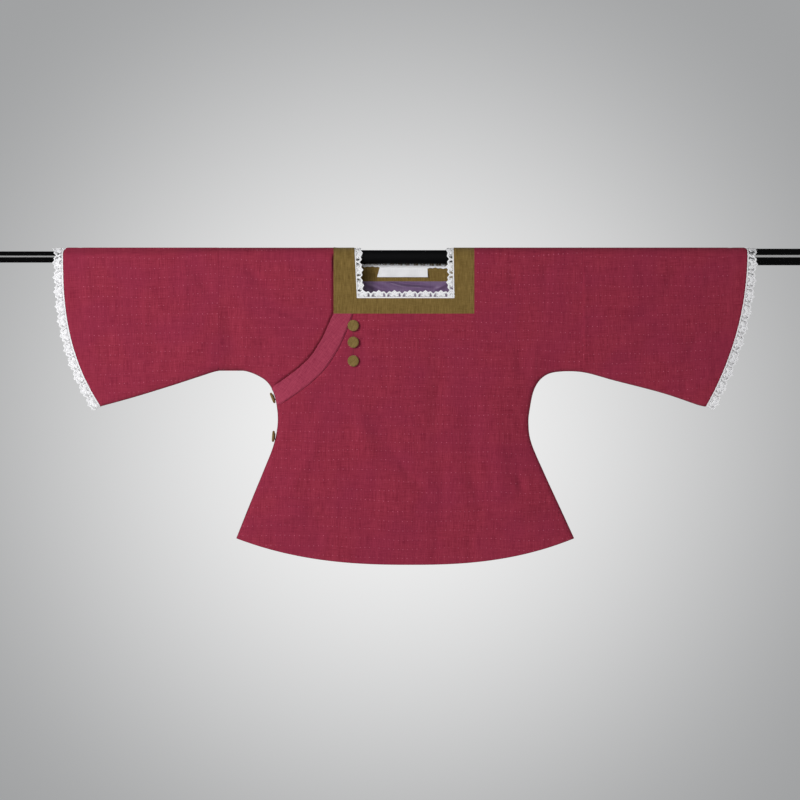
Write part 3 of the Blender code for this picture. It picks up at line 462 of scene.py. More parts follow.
def cloth(name, node, outlines, materials, inner=0.0, wall=WALL, lifted=False, cell=0.0032,
          edge=None, turn=CUFF_TURN, seams=(), sunk=(), grain=0.0, ripple=None):
    """One cloth piece: cut out flat, given its wall from inner outwards, and hung over the rod.

    edge gives the run from the edge that is turned in, and turn how deep it is turned. seams are the lines
    that sewing draws up, and sunk those whose seam lies in a ditch. grain is the slant of the weave in
    degrees, and ripple adds the piece's own waves.
    """
    bm, low, high = cut_cloth(outlines, cell)
    for part in bmesh.ops.extrude_face_region(bm, geom=bm.faces[:])["geom"]:
        if isinstance(part, bmesh.types.BMVert):
            part.co.y = 1
    for face in bm.faces:
        face.material_index = int(all(v.co.y < 0.5 for v in face.verts))
    from_edge = bm.verts.layers.float["from_edge"]
    x, layer, w = np.array([v.co for v in bm.verts]).T
    rim = np.array([v[from_edge] for v in bm.verts])
    z = FOLD - np.abs(w)
    near = under_seam_distance(x, z)
    run = edge(x, w) if edge else np.full(len(x), 1.0)

    # The wall, rounded off at its edges, with what sewing, turning and wear add to it
    free = np.minimum(near, run) < FREE_REACH
    rise = np.sqrt(1 - (1 - np.minimum(rim / np.where(free, FREE_ROUND, SEAM_ROUND), 1)) ** 2)
    out = inner + wall * np.where(layer > 0.5, np.maximum(rise, np.where(free, EDGE_LEAST, SEAM_LEAST)), 0)
    out += pucker(x, z, seams, sunk) + (lift(x, w) if lifted else 0)
    out += ripple(x, w) * smoothstep(0, 0.020, near) if ripple else 0
    out -= TURN_GROOVE * np.exp(-((run - turn) / TURN_GROOVE_WIDTH) ** 2)
    if turn == HEM_TURN:
        out -= HEM_DIP * np.maximum(0, 1 - np.abs(run - turn) / np.where(run < turn, turn, HEM_DIP_FADE))
    for vert, place in zip(bm.verts, hang(x, w, out)):
        vert.co = place
    bmesh.ops.recalc_face_normals(bm, faces=bm.faces)
    mesh = finished_mesh(name, bm)

    cos, sin = math.cos(math.radians(grain)), math.sin(math.radians(grain))
    map_cut(mesh, np.column_stack([x * cos + w * sin, w * cos - x * sin]))
    mesh.attributes.new("turned_in", "FLOAT", "POINT").data.foreach_set("value", run / turn)
    made = add_piece(name, mesh, materials, [node], sharp=50)
    area = sum(abs(sum(a[0] * b[1] - b[0] * a[1] for a, b in zip(o, [*o[1:], o[0]]))) / 2 for o in outlines)


# Across and down from dot to dot, a dot's half width, and the shares of a cuff's turning between which the
# dots come in
DOT_ACROSS, DOT_DOWN, DOT_SIZE = 0.0075, 0.0152, 0.00076
DOT_FADE, DOT_COLOUR = (0.6, 1.2), "cc6680"
# Wider bars in the warp and weft, as width and length
BARS = ((0.0085, 0.120), (0.100, 0.0075))
# The scale of the relief's ribs, which puts them 4.7 mm apart: real threads are far finer and wouldn't show
RIB_SCALE = 66.63287


def woven(name, dark, light, roughness, warp=(0.0012, 0.024), weft=(0.020, 0.0012),
          shares=(0.42, 0.36, 0.13, 0.09), relief=0.00018, constants=None, dots=None, turned_in=None,
          patch=None):
    """A plain weave of uneven threads. Its tone follows the slubs and wider bars of the warp and weft.

    warp and weft are the width and length of a slub, and shares say how much of the tone the slubs and the
    bars give. dots adds raised dots, turned_in is the colour of what is turned in along an edge, and patch
    is a colour that the dye leans to in slow patches.
    """
    made, tree, shader = new_material(name, light, roughness, constants)
    cut = add_node(tree, "UVMap", uv_map="cut").outputs[0]
    tones = []
    for size in (warp, weft, *BARS):
        grid = add_node(tree, "Mapping", {"Vector": cut, "Scale": (1 / size[0], 1 / size[1], 1)})
        tones.append(add_node(tree, "TexNoise", {"Vector": grid.outputs[0], "Scale": 1.0, "Detail": 3,
                                                 "Roughness": 0.6}).outputs[0])
    tone = add_node(tree, "Math", {0: tones[0], 1: shares[0]}, operation="MULTIPLY").outputs[0]
    for slub, share in zip(tones[1:], shares[1:]):
        tone = add_node(tree, "Math", {0: slub, 1: share, 2: tone}, operation="MULTIPLY_ADD").outputs[0]
    tone = add_node(tree, "MapRange", {"Value": tone, 1: 0.36, 2: 0.64}).outputs[0]
    colour = add_node(tree, "Mix", {0: tone, 6: linear(dark), 7: linear(light)},
                      data_type="RGBA").outputs[2]
    height = add_node(tree, "Math", {0: tones[0], 1: tones[1]}, operation="ADD").outputs[0]
    for turn in (0, math.pi / 2):
        grid = add_node(tree, "Mapping", {"Vector": cut, "Rotation": (0, 0, turn)})
        ribs = add_node(tree, "TexWave", {"Vector": grid.outputs[0], "Scale": RIB_SCALE})
        height = add_node(tree, "Math", {0: ribs.outputs[1], 1: 0.25, 2: height},
                          operation="MULTIPLY_ADD").outputs[0]
    if patch:
        drift = add_node(tree, "TexNoise", {"Vector": cut, "Scale": 14.0, "Detail": 1}).outputs[0]
        drift = add_node(tree, "MapRange", {"Value": drift, 1: 0.40, 2: 0.62, 3: 0, 4: 0.35}).outputs[0]
        colour = add_node(tree, "Mix", {0: drift, 6: colour, 7: linear(patch)}, data_type="RGBA").outputs[2]
    if dots:
        spot, height = dots(tree, cut, height)
        colour = add_node(tree, "Mix", {0: spot, 6: colour, 7: linear(DOT_COLOUR)},
                          data_type="RGBA").outputs[2]
    if turned_in:
        run = add_node(tree, "Attribute", attribute_name="turned_in").outputs["Fac"]
        beyond = add_node(tree, "Math", {0: run, 1: 1.0}, operation="GREATER_THAN").outputs[0]
        colour = add_node(tree, "Mix", {0: beyond, 6: linear(turned_in), 7: colour},
                          data_type="RGBA").outputs[2]
    tree.links.new(colour, shader.inputs["Base Color"])
    bump = add_node(tree, "Bump", {"Height": height, "Distance": relief, "Strength": 0.6})
    tree.links.new(bump.outputs[0], shader.inputs["Normal"])
    return made


def raised_dots(tree, cut, height, cuff=False):
    """Rows of small dots, a little uneven in place and strength, which stop short of a cuff's edge."""
    drift = add_node(tree, "TexNoise", {"Vector": cut, "Scale": 9.0, "Detail": 1}).outputs[1]
    drift = add_node(tree, "VectorMath", {0: drift, 1: (0.5, 0.5, 0.5)}, operation="SUBTRACT").outputs[0]
    moved = add_node(tree, "VectorMath", {0: drift, 1: (0.010, 0.016, 0), 2: cut}, operation="MULTIPLY_ADD")
    grid = add_node(tree, "VectorMath", {0: moved.outputs[0], 1: (1 / DOT_ACROSS, 1 / DOT_DOWN, 0)},
                    operation="MULTIPLY").outputs[0]
    cell = add_node(tree, "VectorMath", {0: grid}, operation="FLOOR").outputs[0]
    place = add_node(tree, "VectorMath", {0: grid}, operation="FRACTION").outputs[0]
    place = add_node(tree, "VectorMath", {0: place, 1: (0.5, 0.5, 0)}, operation="SUBTRACT").outputs[0]
    shape = (DOT_ACROSS / DOT_SIZE, 1.25 * DOT_DOWN / DOT_SIZE, 0)
    place = add_node(tree, "VectorMath", {0: place, 1: shape}, operation="MULTIPLY").outputs[0]
    away = add_node(tree, "VectorMath", {0: place}, operation="LENGTH").outputs["Value"]
    spot = add_node(tree, "MapRange", {"Value": away, 1: 0.7, 2: 1.25, 3: 1, 4: 0},
                    interpolation_type="SMOOTHSTEP").outputs[0]
    chance = add_node(tree, "TexWhiteNoise", {"Vector": cell}, noise_dimensions="2D").outputs["Value"]
    strength = add_node(tree, "MapRange", {"Value": chance, 1: 0.05, 2: 0.95, 3: 0.15, 4: 0.85}).outputs[0]
    spot = add_node(tree, "Math", {0: spot, 1: strength}, operation="MULTIPLY").outputs[0]
    if cuff:
        run = add_node(tree, "Attribute", attribute_name="turned_in").outputs["Fac"]
        clear = add_node(tree, "MapRange", {"Value": run, 1: DOT_FADE[0], 2: DOT_FADE[1]}).outputs[0]
        spot = add_node(tree, "Math", {0: spot, 1: clear}, operation="MULTIPLY").outputs[0]
    return spot, add_node(tree, "Math", {0: spot, 1: 1.8, 2: height}, operation="MULTIPLY_ADD").outputs[0]


# Slub cotton with woven dots: matt, deep crimson, with slow patches that lean to plum.
RED = {"dark": "7f1e34", "light": "a83a4f", "patch": "8e2a48", "constants": {
    "Sheen Weight": 0.05, "Sheen Roughness": 0.5, "Specular IOR Level": 0.12}}
red_cotton = woven("slub_cotton_with_woven_dots", roughness=0.9, dots=raised_dots, **RED)
red_cuff_cotton = woven("slub_cotton_with_woven_dots_plain_at_the_cuff", roughness=0.9,
                        dots=lambda *parts: raised_dots(*parts, cuff=True), **RED)
# Satin lining: a close weave with a low gloss. The garment's own cotton is turned in along its edges.
plum_lining = woven("satin_lining_with_turned_in_cotton", "6f5a78", "8d7896", 0.5,
                    warp=(0.0008, 0.060), weft=(0.050, 0.0008), relief=0.00008, turned_in="8e2a46",
                    constants={"Sheen Weight": 0.2, "Specular IOR Level": 0.4})


def flat(points, side=1):
    """Places in the hanging view as flat points of the front, or of the back with side -1."""
    return [(x, side * (FOLD - z)) for x, z in points]


def sleeve_join(seam_x):
    """The line of the seam that joins a sleeve to the body."""
    return [(seam_x, -0.2), (seam_x, 0.02)]


def sleeve(name, side, seam, seam_x):
    """One sleeve, joined to the body at seam_x. side is -1 on the viewer's left and 1 on the right."""
    end_x = seam_x + side * SEAM / 2
    under = [p for p in seam[1:] if (p[0] - end_x) * side > 0.002]
    drops = [*(FOLD * share for share in FOLD_SHARES), *np.linspace(FOLD, FOLD - CUFF_BOTTOM, CUFF_STEPS)]
    front = [(float(cuff_edge(side, w) - side * cuff_rounding(w)), w) for w in drops]
    front += flat([*under, (end_x, height_on(seam, end_x))])
    back = [(x, -w) for x, w in front if w > 0]
    cloth(name + "_cloth", name, [[*front, *reversed(back)]], [red_cuff_cotton, plum_lining],
          edge=lambda x, w: np.abs(cuff_edge(side, w)) - np.abs(x), seams=[sleeve_join(seam_x), seam],
          grain=-1.2)


sleeve("sleeve_left", -1, LEFT_SEAM, LEFT_SLEEVE_SEAM)
sleeve("sleeve_right", 1, RIGHT_SEAM, RIGHT_SLEEVE_SEAM)


# The back: one cloth from sleeve seam to sleeve seam, lined, its top notched for the neck band.

BAND_RIGHT, BAND_FRONT, BAND_BACK = 0.1104, -0.0907, -0.0387
# Where the hem is lowest, a little right of the middle, and how many points it has
HEM_MIDDLE, HEM_POINTS = 0.009, 110


def hem_height(x):
    """The height of the hem, which curves up from its lowest place to both corners."""
    reach = np.where(x < HEM_MIDDLE, HEM_CORNER_X + HEM_MIDDLE, HEM_CORNER_X - HEM_MIDDLE)
    return HEM_BOTTOM + (HEM_CORNER - HEM_BOTTOM) * np.abs((x - HEM_MIDDLE) / reach) ** 2.5


def above_hem(x, w):
    """How far places on the flat cloth are above the hem."""
    return FOLD - np.abs(w) - hem_height(x)


def body_seam(side, seam, seam_x):
    """The under-arm curve and side seam, from the sleeve seam to the hem's corner."""
    start_x = seam_x - side * SEAM / 2
    rest = [tuple(p) for p in seam if (start_x - p[0]) * side > 0.002]
    return [(start_x, height_on(seam, start_x)), *rest]


left_side = body_seam(-1, LEFT_SEAM, LEFT_SLEEVE_SEAM)
right_side = body_seam(1, RIGHT_SEAM, RIGHT_SLEEVE_SEAM)
hem_line = [(float(x), float(hem_height(x)))
            for x in np.linspace(-HEM_CORNER_X, HEM_CORNER_X, HEM_POINTS)[1:-1]]
sleeve_joins = [sleeve_join(LEFT_SLEEVE_SEAM), sleeve_join(RIGHT_SLEEVE_SEAM)]
top, notch = -SEAM / 2, -(FOLD - BAND_BACK + SEAM)
cloth("back_cloth", "back", [[
    (left_side[0][0], top), *flat([*left_side, *hem_line, *reversed(right_side)], -1),
    (right_side[0][0], top), (BAND_RIGHT + SEAM, top), (BAND_RIGHT + SEAM, notch),
    (BAND_LEFT - SEAM, notch), (BAND_LEFT - SEAM, top)]],
    [red_cotton, plum_lining], edge=above_hem, turn=HEM_TURN,
    seams=[*sleeve_joins, LEFT_SEAM, RIGHT_SEAM], grain=-0.8)


# The overlapping front: right shoulder, right side, hem and left side, up to the seam of the opening's
# facing. The facing is a plain strip of the same red cotton, cut on the curve of the opening.

OPENING = smooth_line((
    (BAND_LEFT, BAND_FRONT), (-0.1211, -0.1054), (-0.1304, -0.1266), (-0.1397, -0.1426), (-0.1502, -0.1584),
    (-0.1661, -0.1744), (-0.1846, -0.1890), (-0.2006, -0.2005), (-0.2100, -0.2066)))
FACING_WIDTH, FACING_STRIP, FACING_SEAM_X = 0.030, 0.036, -0.0838
# The facing's lower end: its highest and lowest places on the side seam, and the corner past the opening
FACING_HIGH, FACING_LOW, FACING_CORNER = -0.2165, -0.2385, (-0.2133, -0.2117)


def directions(line):
    """The direction of a line at each of its points."""
    ahead = np.gradient(np.asarray(line), axis=0)
    return ahead / np.linalg.norm(ahead, axis=1)[:, None]


def moved_sideways(line, distance):
    """A line moved to its left, as seen along its run."""
    ahead = directions(line)
    return np.asarray(line) + distance * np.column_stack([-ahead[:, 1], ahead[:, 0]])


def place_at(line, z):
    """The last place of a line at the height z."""
    for a, b in zip(line[::-1], line[-2::-1]):
        if min(a[1], b[1]) <= z <= max(a[1], b[1]):
            return (float(a[0] + (b[0] - a[0]) * (z - a[1]) / (b[1] - a[1])), z)


def trimmed(line, start, end):
    """From start down to end, with the line's own points between them that are clear of both."""
    return [start, *(tuple(p) for p in line if end[1] < p[1] < start[1]
                     and min(math.dist(p, start), math.dist(p, end)) > 0.003), end]


def beside(line, x, w, width):
    """For places on the flat cloth: 1 on a line of the hanging view, and dying away beside it."""
    return np.exp(-(distance_to(line, x, FOLD - np.abs(w)) / width) ** 2)


facing_seam = trimmed(moved_sideways(OPENING, FACING_WIDTH), (FACING_SEAM_X, BAND_FRONT - SEAM),
                      place_at(LEFT_SEAM, FACING_LOW))
front_edge = [(x + 0.75 * SEAM, z - 0.75 * SEAM) for x, z in facing_seam]
front_left = trimmed(left_side, place_at(LEFT_SEAM, front_edge[-1][1]), LEFT_SEAM_POINTS[-1])
cloth("front_cloth", "front", [[
    (front_edge[0][0], FOLD - BAND_FRONT + SEAM), (BAND_RIGHT + SEAM, FOLD - BAND_FRONT + SEAM),
    (BAND_RIGHT + SEAM, SEAM / 2), (right_side[0][0], SEAM / 2),
    *flat([*right_side, *reversed(hem_line), *reversed(front_left), *reversed(front_edge[1:-1])])]],
    [red_cotton, plum_lining], lifted=True, edge=above_hem, turn=HEM_TURN,
    seams=[*sleeve_joins, LEFT_SEAM, RIGHT_SEAM], sunk=[facing_seam], grain=1.0,
    ripple=lambda x, w: -0.0010 * beside(facing_seam, x, w, 0.006))

# Plain cotton for the facing: the red without the dots, drawn a little lighter than the dotted cotton.
plain_cotton = woven("plain_slub_cotton", "8e2c46", "b54961", 0.9, warp=(0.0012, 0.016),
                     weft=(0.012, 0.0012), constants=RED["constants"])
side_edge = trimmed(left_side, place_at(LEFT_SEAM, FACING_HIGH), facing_seam[-1])
facing = flat([*(tuple(p) for p in OPENING), FACING_CORNER, *side_edge, *reversed(facing_seam[:-1])])
facing[0] = (float(OPENING[0][0]), FOLD - BAND_FRONT + SEAM)
cloth("opening_facing_cloth", "opening_facing", [facing], [plain_cotton, plain_cotton],
      lifted=True, cell=0.003, sunk=[facing_seam], grain=38,
      ripple=lambda x, w: 0.0006 * (beside(OPENING, x, w, 0.0035) + beside(facing_seam, x, w, 0.006)))


# The under front: the viewer's left shoulder, which runs on under the facing and the neck band, and dips
# a little where it goes in.

LAP_WIDTH, LAP_LOW, LAP_DIP, LAP_DIP_WIDTH = 0.025, -0.2300, 0.0040, 0.0022

lap_end = place_at(LEFT_SEAM, LAP_LOW)
lap_corner = (BAND_LEFT + LAP_WIDTH, BAND_FRONT)
lap_edge = trimmed(moved_sideways(OPENING, LAP_WIDTH), lap_corner, lap_end)
lap_line = [(BAND_LEFT, 0), *(tuple(p) for p in OPENING)]
under_side = trimmed(left_side[1:], left_side[0], lap_end)
lap_top = LAP_START + 0.002
cloth("under_front_cloth", "under_front", [[
    (left_side[0][0], SEAM / 2), *flat([*under_side[:-1], *reversed(lap_edge)]),
    (lap_corner[0], lap_top), (BAND_LEFT - SEAM, lap_top), (BAND_LEFT - SEAM, SEAM / 2)]],
    [red_cotton, plum_lining], seams=[sleeve_joins[0], LEFT_SEAM], cell=0.0017, grain=1.0,
    ripple=lambda x, w: -LAP_DIP * beside(lap_line, x, w, LAP_DIP_WIDTH))


# The neck band: a square ring of olive ribbed cotton over both shoulders, faced with itself.

NECK_LEFT_TOP, NECK_LEFT_FRONT, NECK_RIGHT_TOP, NECK_RIGHT_FRONT = -0.0813, -0.0773, 0.0774, 0.0787
NECK_FRONT, NECK_BACK = -0.0661, -0.0080

# Ribbed cotton: upright cords that catch the light, matt and earthy.
RIBBED = {"warp": (0.0013, 0.018), "weft": (0.010, 0.0012), "shares": (0.56, 0.24, 0.12, 0.08),
          "relief": 0.00025}
olive_cotton = woven("ribbed_olive_cotton", "624d21", "907742", 0.9, **RIBBED,
                     constants={"Sheen Weight": 0.1, "Specular IOR Level": 0.2})
neck_edge = [(NECK_LEFT_TOP, 0), (NECK_LEFT_FRONT, NECK_FRONT), (NECK_RIGHT_FRONT, NECK_FRONT),
             (NECK_RIGHT_TOP, 0)]
cloth("neck_band_cloth", "neck_band", [
    [(BAND_LEFT, 0), (BAND_LEFT, FOLD - BAND_FRONT), (BAND_RIGHT, FOLD - BAND_FRONT), (BAND_RIGHT, 0),
     (NECK_RIGHT_TOP, 0), (NECK_RIGHT_FRONT, FOLD - NECK_FRONT), (NECK_LEFT_FRONT, FOLD - NECK_FRONT),
     (NECK_LEFT_TOP, 0)],
    [(NECK_LEFT_TOP, 0), (NECK_LEFT_TOP, NECK_BACK - FOLD), (NECK_RIGHT_TOP, NECK_BACK - FOLD),
     (NECK_RIGHT_TOP, 0), (BAND_RIGHT, 0), (BAND_RIGHT, BAND_BACK - FOLD), (BAND_LEFT, BAND_BACK - FOLD),
     (BAND_LEFT, 0)]],
    [olive_cotton, olive_cotton], lifted=True, cell=0.004, seams=[neck_edge],
    ripple=lambda x, w: 0.0005 * np.exp(-((x - BAND_LEFT) / 0.0035) ** 2))


# The back's lining, where it shows through the neck below the band: plum satin, a little slack.

# Half the lining's width, its depth below the rod's axis, and the wall of thin trimmings
LINING_HALF, LINING_DROP, TRIM_WALL = 0.130, 0.125, 0.0010
# Slack wrinkles: middle x and z, half run, half width, lean in degrees, rise towards the wearer
WRINKLES = (
    (-0.016, -0.0435, 0.015, 0.0017, 104, -0.0022), (-0.010, -0.0395, 0.020, 0.0026, 104, 0.0024),
    (0.017, -0.0478, 0.024, 0.0016, 93, -0.0022), (0.016, -0.0440, 0.026, 0.0026, 94, 0.0022),
    (0.058, -0.0470, 0.014, 0.0028, 60, 0.0020), (0.046, -0.0530, 0.016, 0.0022, 96, -0.0016),
    (-0.040, -0.0500, 0.024, 0.0050, 112, 0.0030), (0.012, -0.0550, 0.020, 0.0030, 86, 0.0018),
    (-0.060, -0.0590, 0.026, 0.0045, 106, 0.0014), (0.010, -0.0750, 0.040, 0.0060, 82, 0.0009),
    (-0.040, -0.1000, 0.040, 0.0070, 60, 0.0008))
satin = woven("plum_satin_lining", "5c4668", "8a6c96", 0.45, warp=(0.0008, 0.060), weft=(0.050, 0.0008),
              relief=0.00006, constants={"Sheen Weight": 0.25, "Specular IOR Level": 0.4})
top, low = -(FOLD - BAND_BACK + CLEAR), -(FOLD + LINING_DROP)
cloth("back_lining_cloth", "back_lining", [
    [(-LINING_HALF, top), (-LINING_HALF, low), (LINING_HALF, low), (LINING_HALF, top)]],
    [satin, satin], inner=-TRIM_WALL - CLEAR, wall=TRIM_WALL, cell=0.0014,
    ripple=lambda x, w: -fold_rise(x, FOLD - np.abs(w), WRINKLES))


# The laces: narrow white cotton lace, one round each cuff, one inside the neck, one at the back neckline.
# Each is a net with leaves worked in close stitches, a woven heading that is sewn on, and a corded edge.

# The net's thickness, a cord's radius, the heading's width, and how many picots a mound has and how deep
LACE_NET, CORD, HEADING = 0.00030, 0.00036, 0.0020
PICOTS, PICOT = 3, 0.0024
# The net's pitch, the steps of the bands, and the leaves of a fan: their foot and their turns in degrees
NET_PITCH, HEADING_STEP, BORDER_STEPS = 0.0023, 0.003, 24
LEAF_FOOT, LEAF_TURNS = 0.0018, (-62, -31, 0, 31, 62)


def lace_reach(s, length, repeat, low, high, picot=PICOT, grow=0.0, start=0.0):
    """How far lace reaches from its sewn edge: one pointed mound in each repeat, with picots on it."""
    phase = (np.asarray(s) + start) / repeat % 1
    mound = 1 - np.abs(2 * phase - 1)
    loop = 1 - np.abs(2 * (PICOTS * phase % 1) - 1)
    reach = low + (high - low - picot) * mound ** 0.8 + picot * (loop - 0.5)
    return reach + grow * (np.asarray(s) / length - 0.5)


def tubes(lines, radius, closed):
    """Round cords along lines of places, as one mesh."""
    curve = bpy.data.curves.new("cords", "CURVE")
    curve.dimensions, curve.bevel_depth, curve.bevel_resolution = "3D", radius, 1
    curve.use_fill_caps = True
    for line in lines:
        spline = curve.splines.new("POLY")
        spline.points.add(len(line) - 1)
        spline.points.foreach_set("co", np.column_stack([line, np.ones(len(line))]).ravel())
        spline.use_cyclic_u = closed
    holder = bpy.data.objects.new("cords", curve)
    bpy.context.scene.collection.objects.link(holder)
    made = bpy.data.meshes.new_from_object(holder.evaluated_get(bpy.context.evaluated_depsgraph_get()))
    bpy.data.objects.remove(holder)
    return made


def lace(bm, length, repeat, low, high, place, bar, border, picot=PICOT, grow=0.0, start=None):
    """Adds one run of lace to a bmesh. place turns the run, the reach and the height into the hung place.

    low and high are about how far it reaches between two mounds and at a tip, bar is half the width of the
    net's bars, and border the width of the worked border. Whole repeats fill the length, or the pattern
    begins at start within its repeat and is cut off.
    """
    if start is None:
        repeat, start = length / max(1, round(length / repeat)), 0.0
    count = math.ceil((length + start) / repeat - 0.001)
    pitch = repeat / round(repeat / NET_PITCH)
    ray = (high - border) * 0.68

    def edge(s):
        return lace_reach(s, length, repeat, low, high, picot, grow, start)

    # The net: one repeat of diamonds, opened and laid side by side, sparse between the fan and the border
    net = bmesh.new()
    sides = 2 * math.ceil((repeat + high) / pitch)
    bmesh.ops.create_grid(net, x_segments=sides, y_segments=sides, size=sides * pitch / math.sqrt(8),
                          matrix=Matrix.Rotation(math.radians(45), 4, "Z"))
    s, t = np.array([f.calc_center_median()[:2] for f in net.faces]).T
    from_foot = np.hypot(s - repeat / 2, t - LEAF_FOOT)
    stays = (s > -1e-5) & (s < repeat - 1e-5) & (t > HEADING * 0.5) & (t < edge(s - start) - 0.0009)
    stays &= (from_foot < ray * 0.55) | (np.floor(s / pitch + 0.25) % 2 == 0)
    bmesh.ops.delete(net, geom=[f for f, kept in zip(net.faces[:], stays) if not kept], context="FACES")
    cells = net.faces[:]
    bmesh.ops.inset_individual(net, faces=cells, thickness=bar, use_even_offset=True)
    bmesh.ops.delete(net, geom=cells, context="FACES_ONLY")
    tile = net.verts[:] + net.edges[:] + net.faces[:]
    for number in range(1, count):
        copy = bmesh.ops.duplicate(net, geom=tile)["geom"]
        verts = [g for g in copy if isinstance(g, bmesh.types.BMVert)]
        bmesh.ops.translate(net, verts=verts, vec=(number * repeat, 0, 0))
    bmesh.ops.translate(net, verts=net.verts, vec=(-start, 0, 0))
    outside = [f for f in net.faces if not 0 < f.calc_center_median().x < length]
    bmesh.ops.delete(net, geom=outside, context="FACES")
    bmesh.ops.remove_doubles(net, verts=net.verts, dist=0.00002)
    for part in bmesh.ops.extrude_face_region(net, geom=net.faces[:])["geom"]:
        if isinstance(part, bmesh.types.BMVert):
            part.co.z += LACE_NET

    # The close bands: the heading along the sewn edge, and the worked border that follows the picots
    bands = bmesh.new()
    for steps, is_border in ((length / HEADING_STEP, False), (length / repeat * BORDER_STEPS, True)):
        made = bmesh.ops.create_grid(bands, x_segments=round(steps), y_segments=2, size=0.5)["verts"]
        faces = {f for v in made for f in v.link_faces}
        for part in bmesh.ops.extrude_face_region(bands, geom=list(faces))["geom"]:
            if isinstance(part, bmesh.types.BMVert):
                part.co.z = 1
                made.append(part)
        for vert in made:
            run, across = (vert.co.x + 0.5) * length, vert.co.y + 0.5
            swell = (0.0006 + 0.0004 * math.sin(math.pi * across)) * vert.co.z
            reach = float(edge(run)) - border * (1 - across) if is_border else HEADING * across
            vert.co = (run, reach, swell - 0.0001)

    # The fan of leaves in each repeat, and one slanting leaf between two fans
    leaves = bmesh.new()
    middles = [(number + 0.5) * repeat - start for number in range(count)]
    shapes = [(0.0, LEAF_FOOT, math.radians(turn), 0.34 * ray, ray * (1.04 - 0.07 * abs(turn) / 32),
               ray * 0.225) for turn in LEAF_TURNS]
    shapes.append((-0.5 * repeat - 0.0014, 0.0020, math.radians(24), 0, low * 0.66, 0.0013))
    for middle in middles:
        for s, t, turn, inner, outer, half in shapes:
            if not 0.0008 < middle + s + math.sin(turn) * (inner + outer) / 2 < length - 0.0008:
                continue
            made = bmesh.ops.create_uvsphere(leaves, u_segments=8, v_segments=6, radius=1)["verts"]
            bmesh.ops.scale(leaves, verts=made, vec=((outer - inner) / 2, half, 0.00048))
            bmesh.ops.translate(leaves, verts=made, vec=((inner + outer) / 2, 0, LACE_NET * 0.8))
            bmesh.ops.rotate(leaves, verts=made, matrix=Matrix.Rotation(math.pi / 2 - turn, 3, "Z"))
            bmesh.ops.translate(leaves, verts=made, vec=(middle + s, t, 0))

    for source in (net, bands, leaves):
        bmesh.ops.recalc_face_normals(source, faces=source.faces)
        for vert, spot in zip(source.verts, place(*np.array([v.co for v in source.verts]).T)):
            vert.co = spot
        bm.from_mesh(finished_mesh("part", source))

    # The cords: one inside the border, one over each fan, and a ring at its foot
    run = np.linspace(0.0006, length - 0.0006, round(length / repeat * BORDER_STEPS))
    inside = place(run, edge(run) - border - 0.0010, np.full_like(run, LACE_NET))
    bm.from_mesh(tubes([inside], CORD * 0.8, False))
    turns, rings, arches = np.linspace(0, math.tau, 13)[:-1], [], []
    for middle in middles:
        if 0.0015 < middle < length - 0.0015:
            rings.append(place(middle + 0.0013 * np.cos(turns), 0.0026 + 0.0011 * np.sin(turns),
                               np.full(12, LACE_NET)))
        sweep = np.radians(np.linspace(-76, 76, 17))
        arch = ray * 1.10 * (1 - 0.10 * np.abs(sweep) / 0.61)
        across = middle + arch * np.sin(sweep)
        seen = (across > 0) & (across < length)
        if seen.sum() > 2:
            arches.append(place(across[seen], LEAF_FOOT + (arch * np.cos(sweep))[seen],
                                np.full(seen.sum(), LACE_NET)))
    bm.from_mesh(tubes(rings, CORD, True))
    bm.from_mesh(tubes(arches, CORD, False))


def lace_piece(name, node, bm):
    """Makes the lace in a bmesh a shown piece."""
    bmesh.ops.remove_doubles(bm, verts=bm.verts, dist=0.000002)
    made = add_piece(name, finished_mesh(name, bm), [lace_cotton], [node], sharp=60)


# Bleached cotton thread: chalky white, each thread twisted.
lace_cotton, tree, shader = new_material("bleached_cotton_lace", "f4f4f6", 0.8,
                                         {"Sheen Weight": 0.1, "Specular IOR Level": 0.3})
place = add_node(tree, "TexCoord").outputs["Object"]
twist = add_node(tree, "TexNoise", {"Vector": place, "Scale": 1400.0, "Detail": 2})
tone = add_node(tree, "MapRange", {"Value": twist.outputs[0], 1: 0.3, 2: 0.7})
shade = add_node(tree, "Mix", {0: tone.outputs[0], 6: linear("f2f2f6"), 7: linear("fdfdfe")},
                 data_type="RGBA")
tree.links.new(shade.outputs[2], shader.inputs["Base Color"])
bump = add_node(tree, "Bump", {"Height": twist.outputs[0], "Distance": 0.0002, "Strength": 0.3})
tree.links.new(bump.outputs[0], shader.inputs["Normal"])


def runs_along(line):
    """The run from a line's start to each of its points."""
    return np.concatenate([[0], np.cumsum(np.linalg.norm(np.diff(line, axis=0), axis=1))])


def cuff_lace(name, side, repeat, bar, border):
    """The lace round one cuff, which turns its corner over the shoulder fold."""
    deep = FOLD - CUFF_BOTTOM
    drops = np.linspace(-deep, deep, 801)
    edge = np.column_stack([cuff_edge(side, drops), drops])
    ahead = directions(edge)
    outwards = side * np.column_stack([ahead[:, 1], -ahead[:, 0]])
    runs = runs_along(edge)

    def place(s, t, height):
        at = np.column_stack([np.interp(s, runs, column) for column in edge.T])
        way = np.column_stack([np.interp(s, runs, column) for column in outwards.T])
        inner = cuff_rounding(at[:, 1]) * np.clip(1 - t / 0.0112, 0, 1)
        flat_at = at + way * (t + SEAM)[:, None]
        hung = hang(flat_at[:, 0] - side * inner, flat_at[:, 1], 0.0009 + height)
        hung[:, 2] -= 0.0016 * smoothstep(0, 0.0150, t) * np.maximum(0, 1 - np.abs(flat_at[:, 1]) / 0.020)
        return hung

    bm = bmesh.new()
    lace(bm, runs[-1], repeat, 0.0120, 0.0184, place, bar, border)
    lace_piece(name + "_threads", name, bm)


cuff_lace("cuff_lace_left", -1, 0.0226, 0.00010, 0.0024)
cuff_lace("cuff_lace_right", 1, 0.0252, 0.00020, 0.0030)

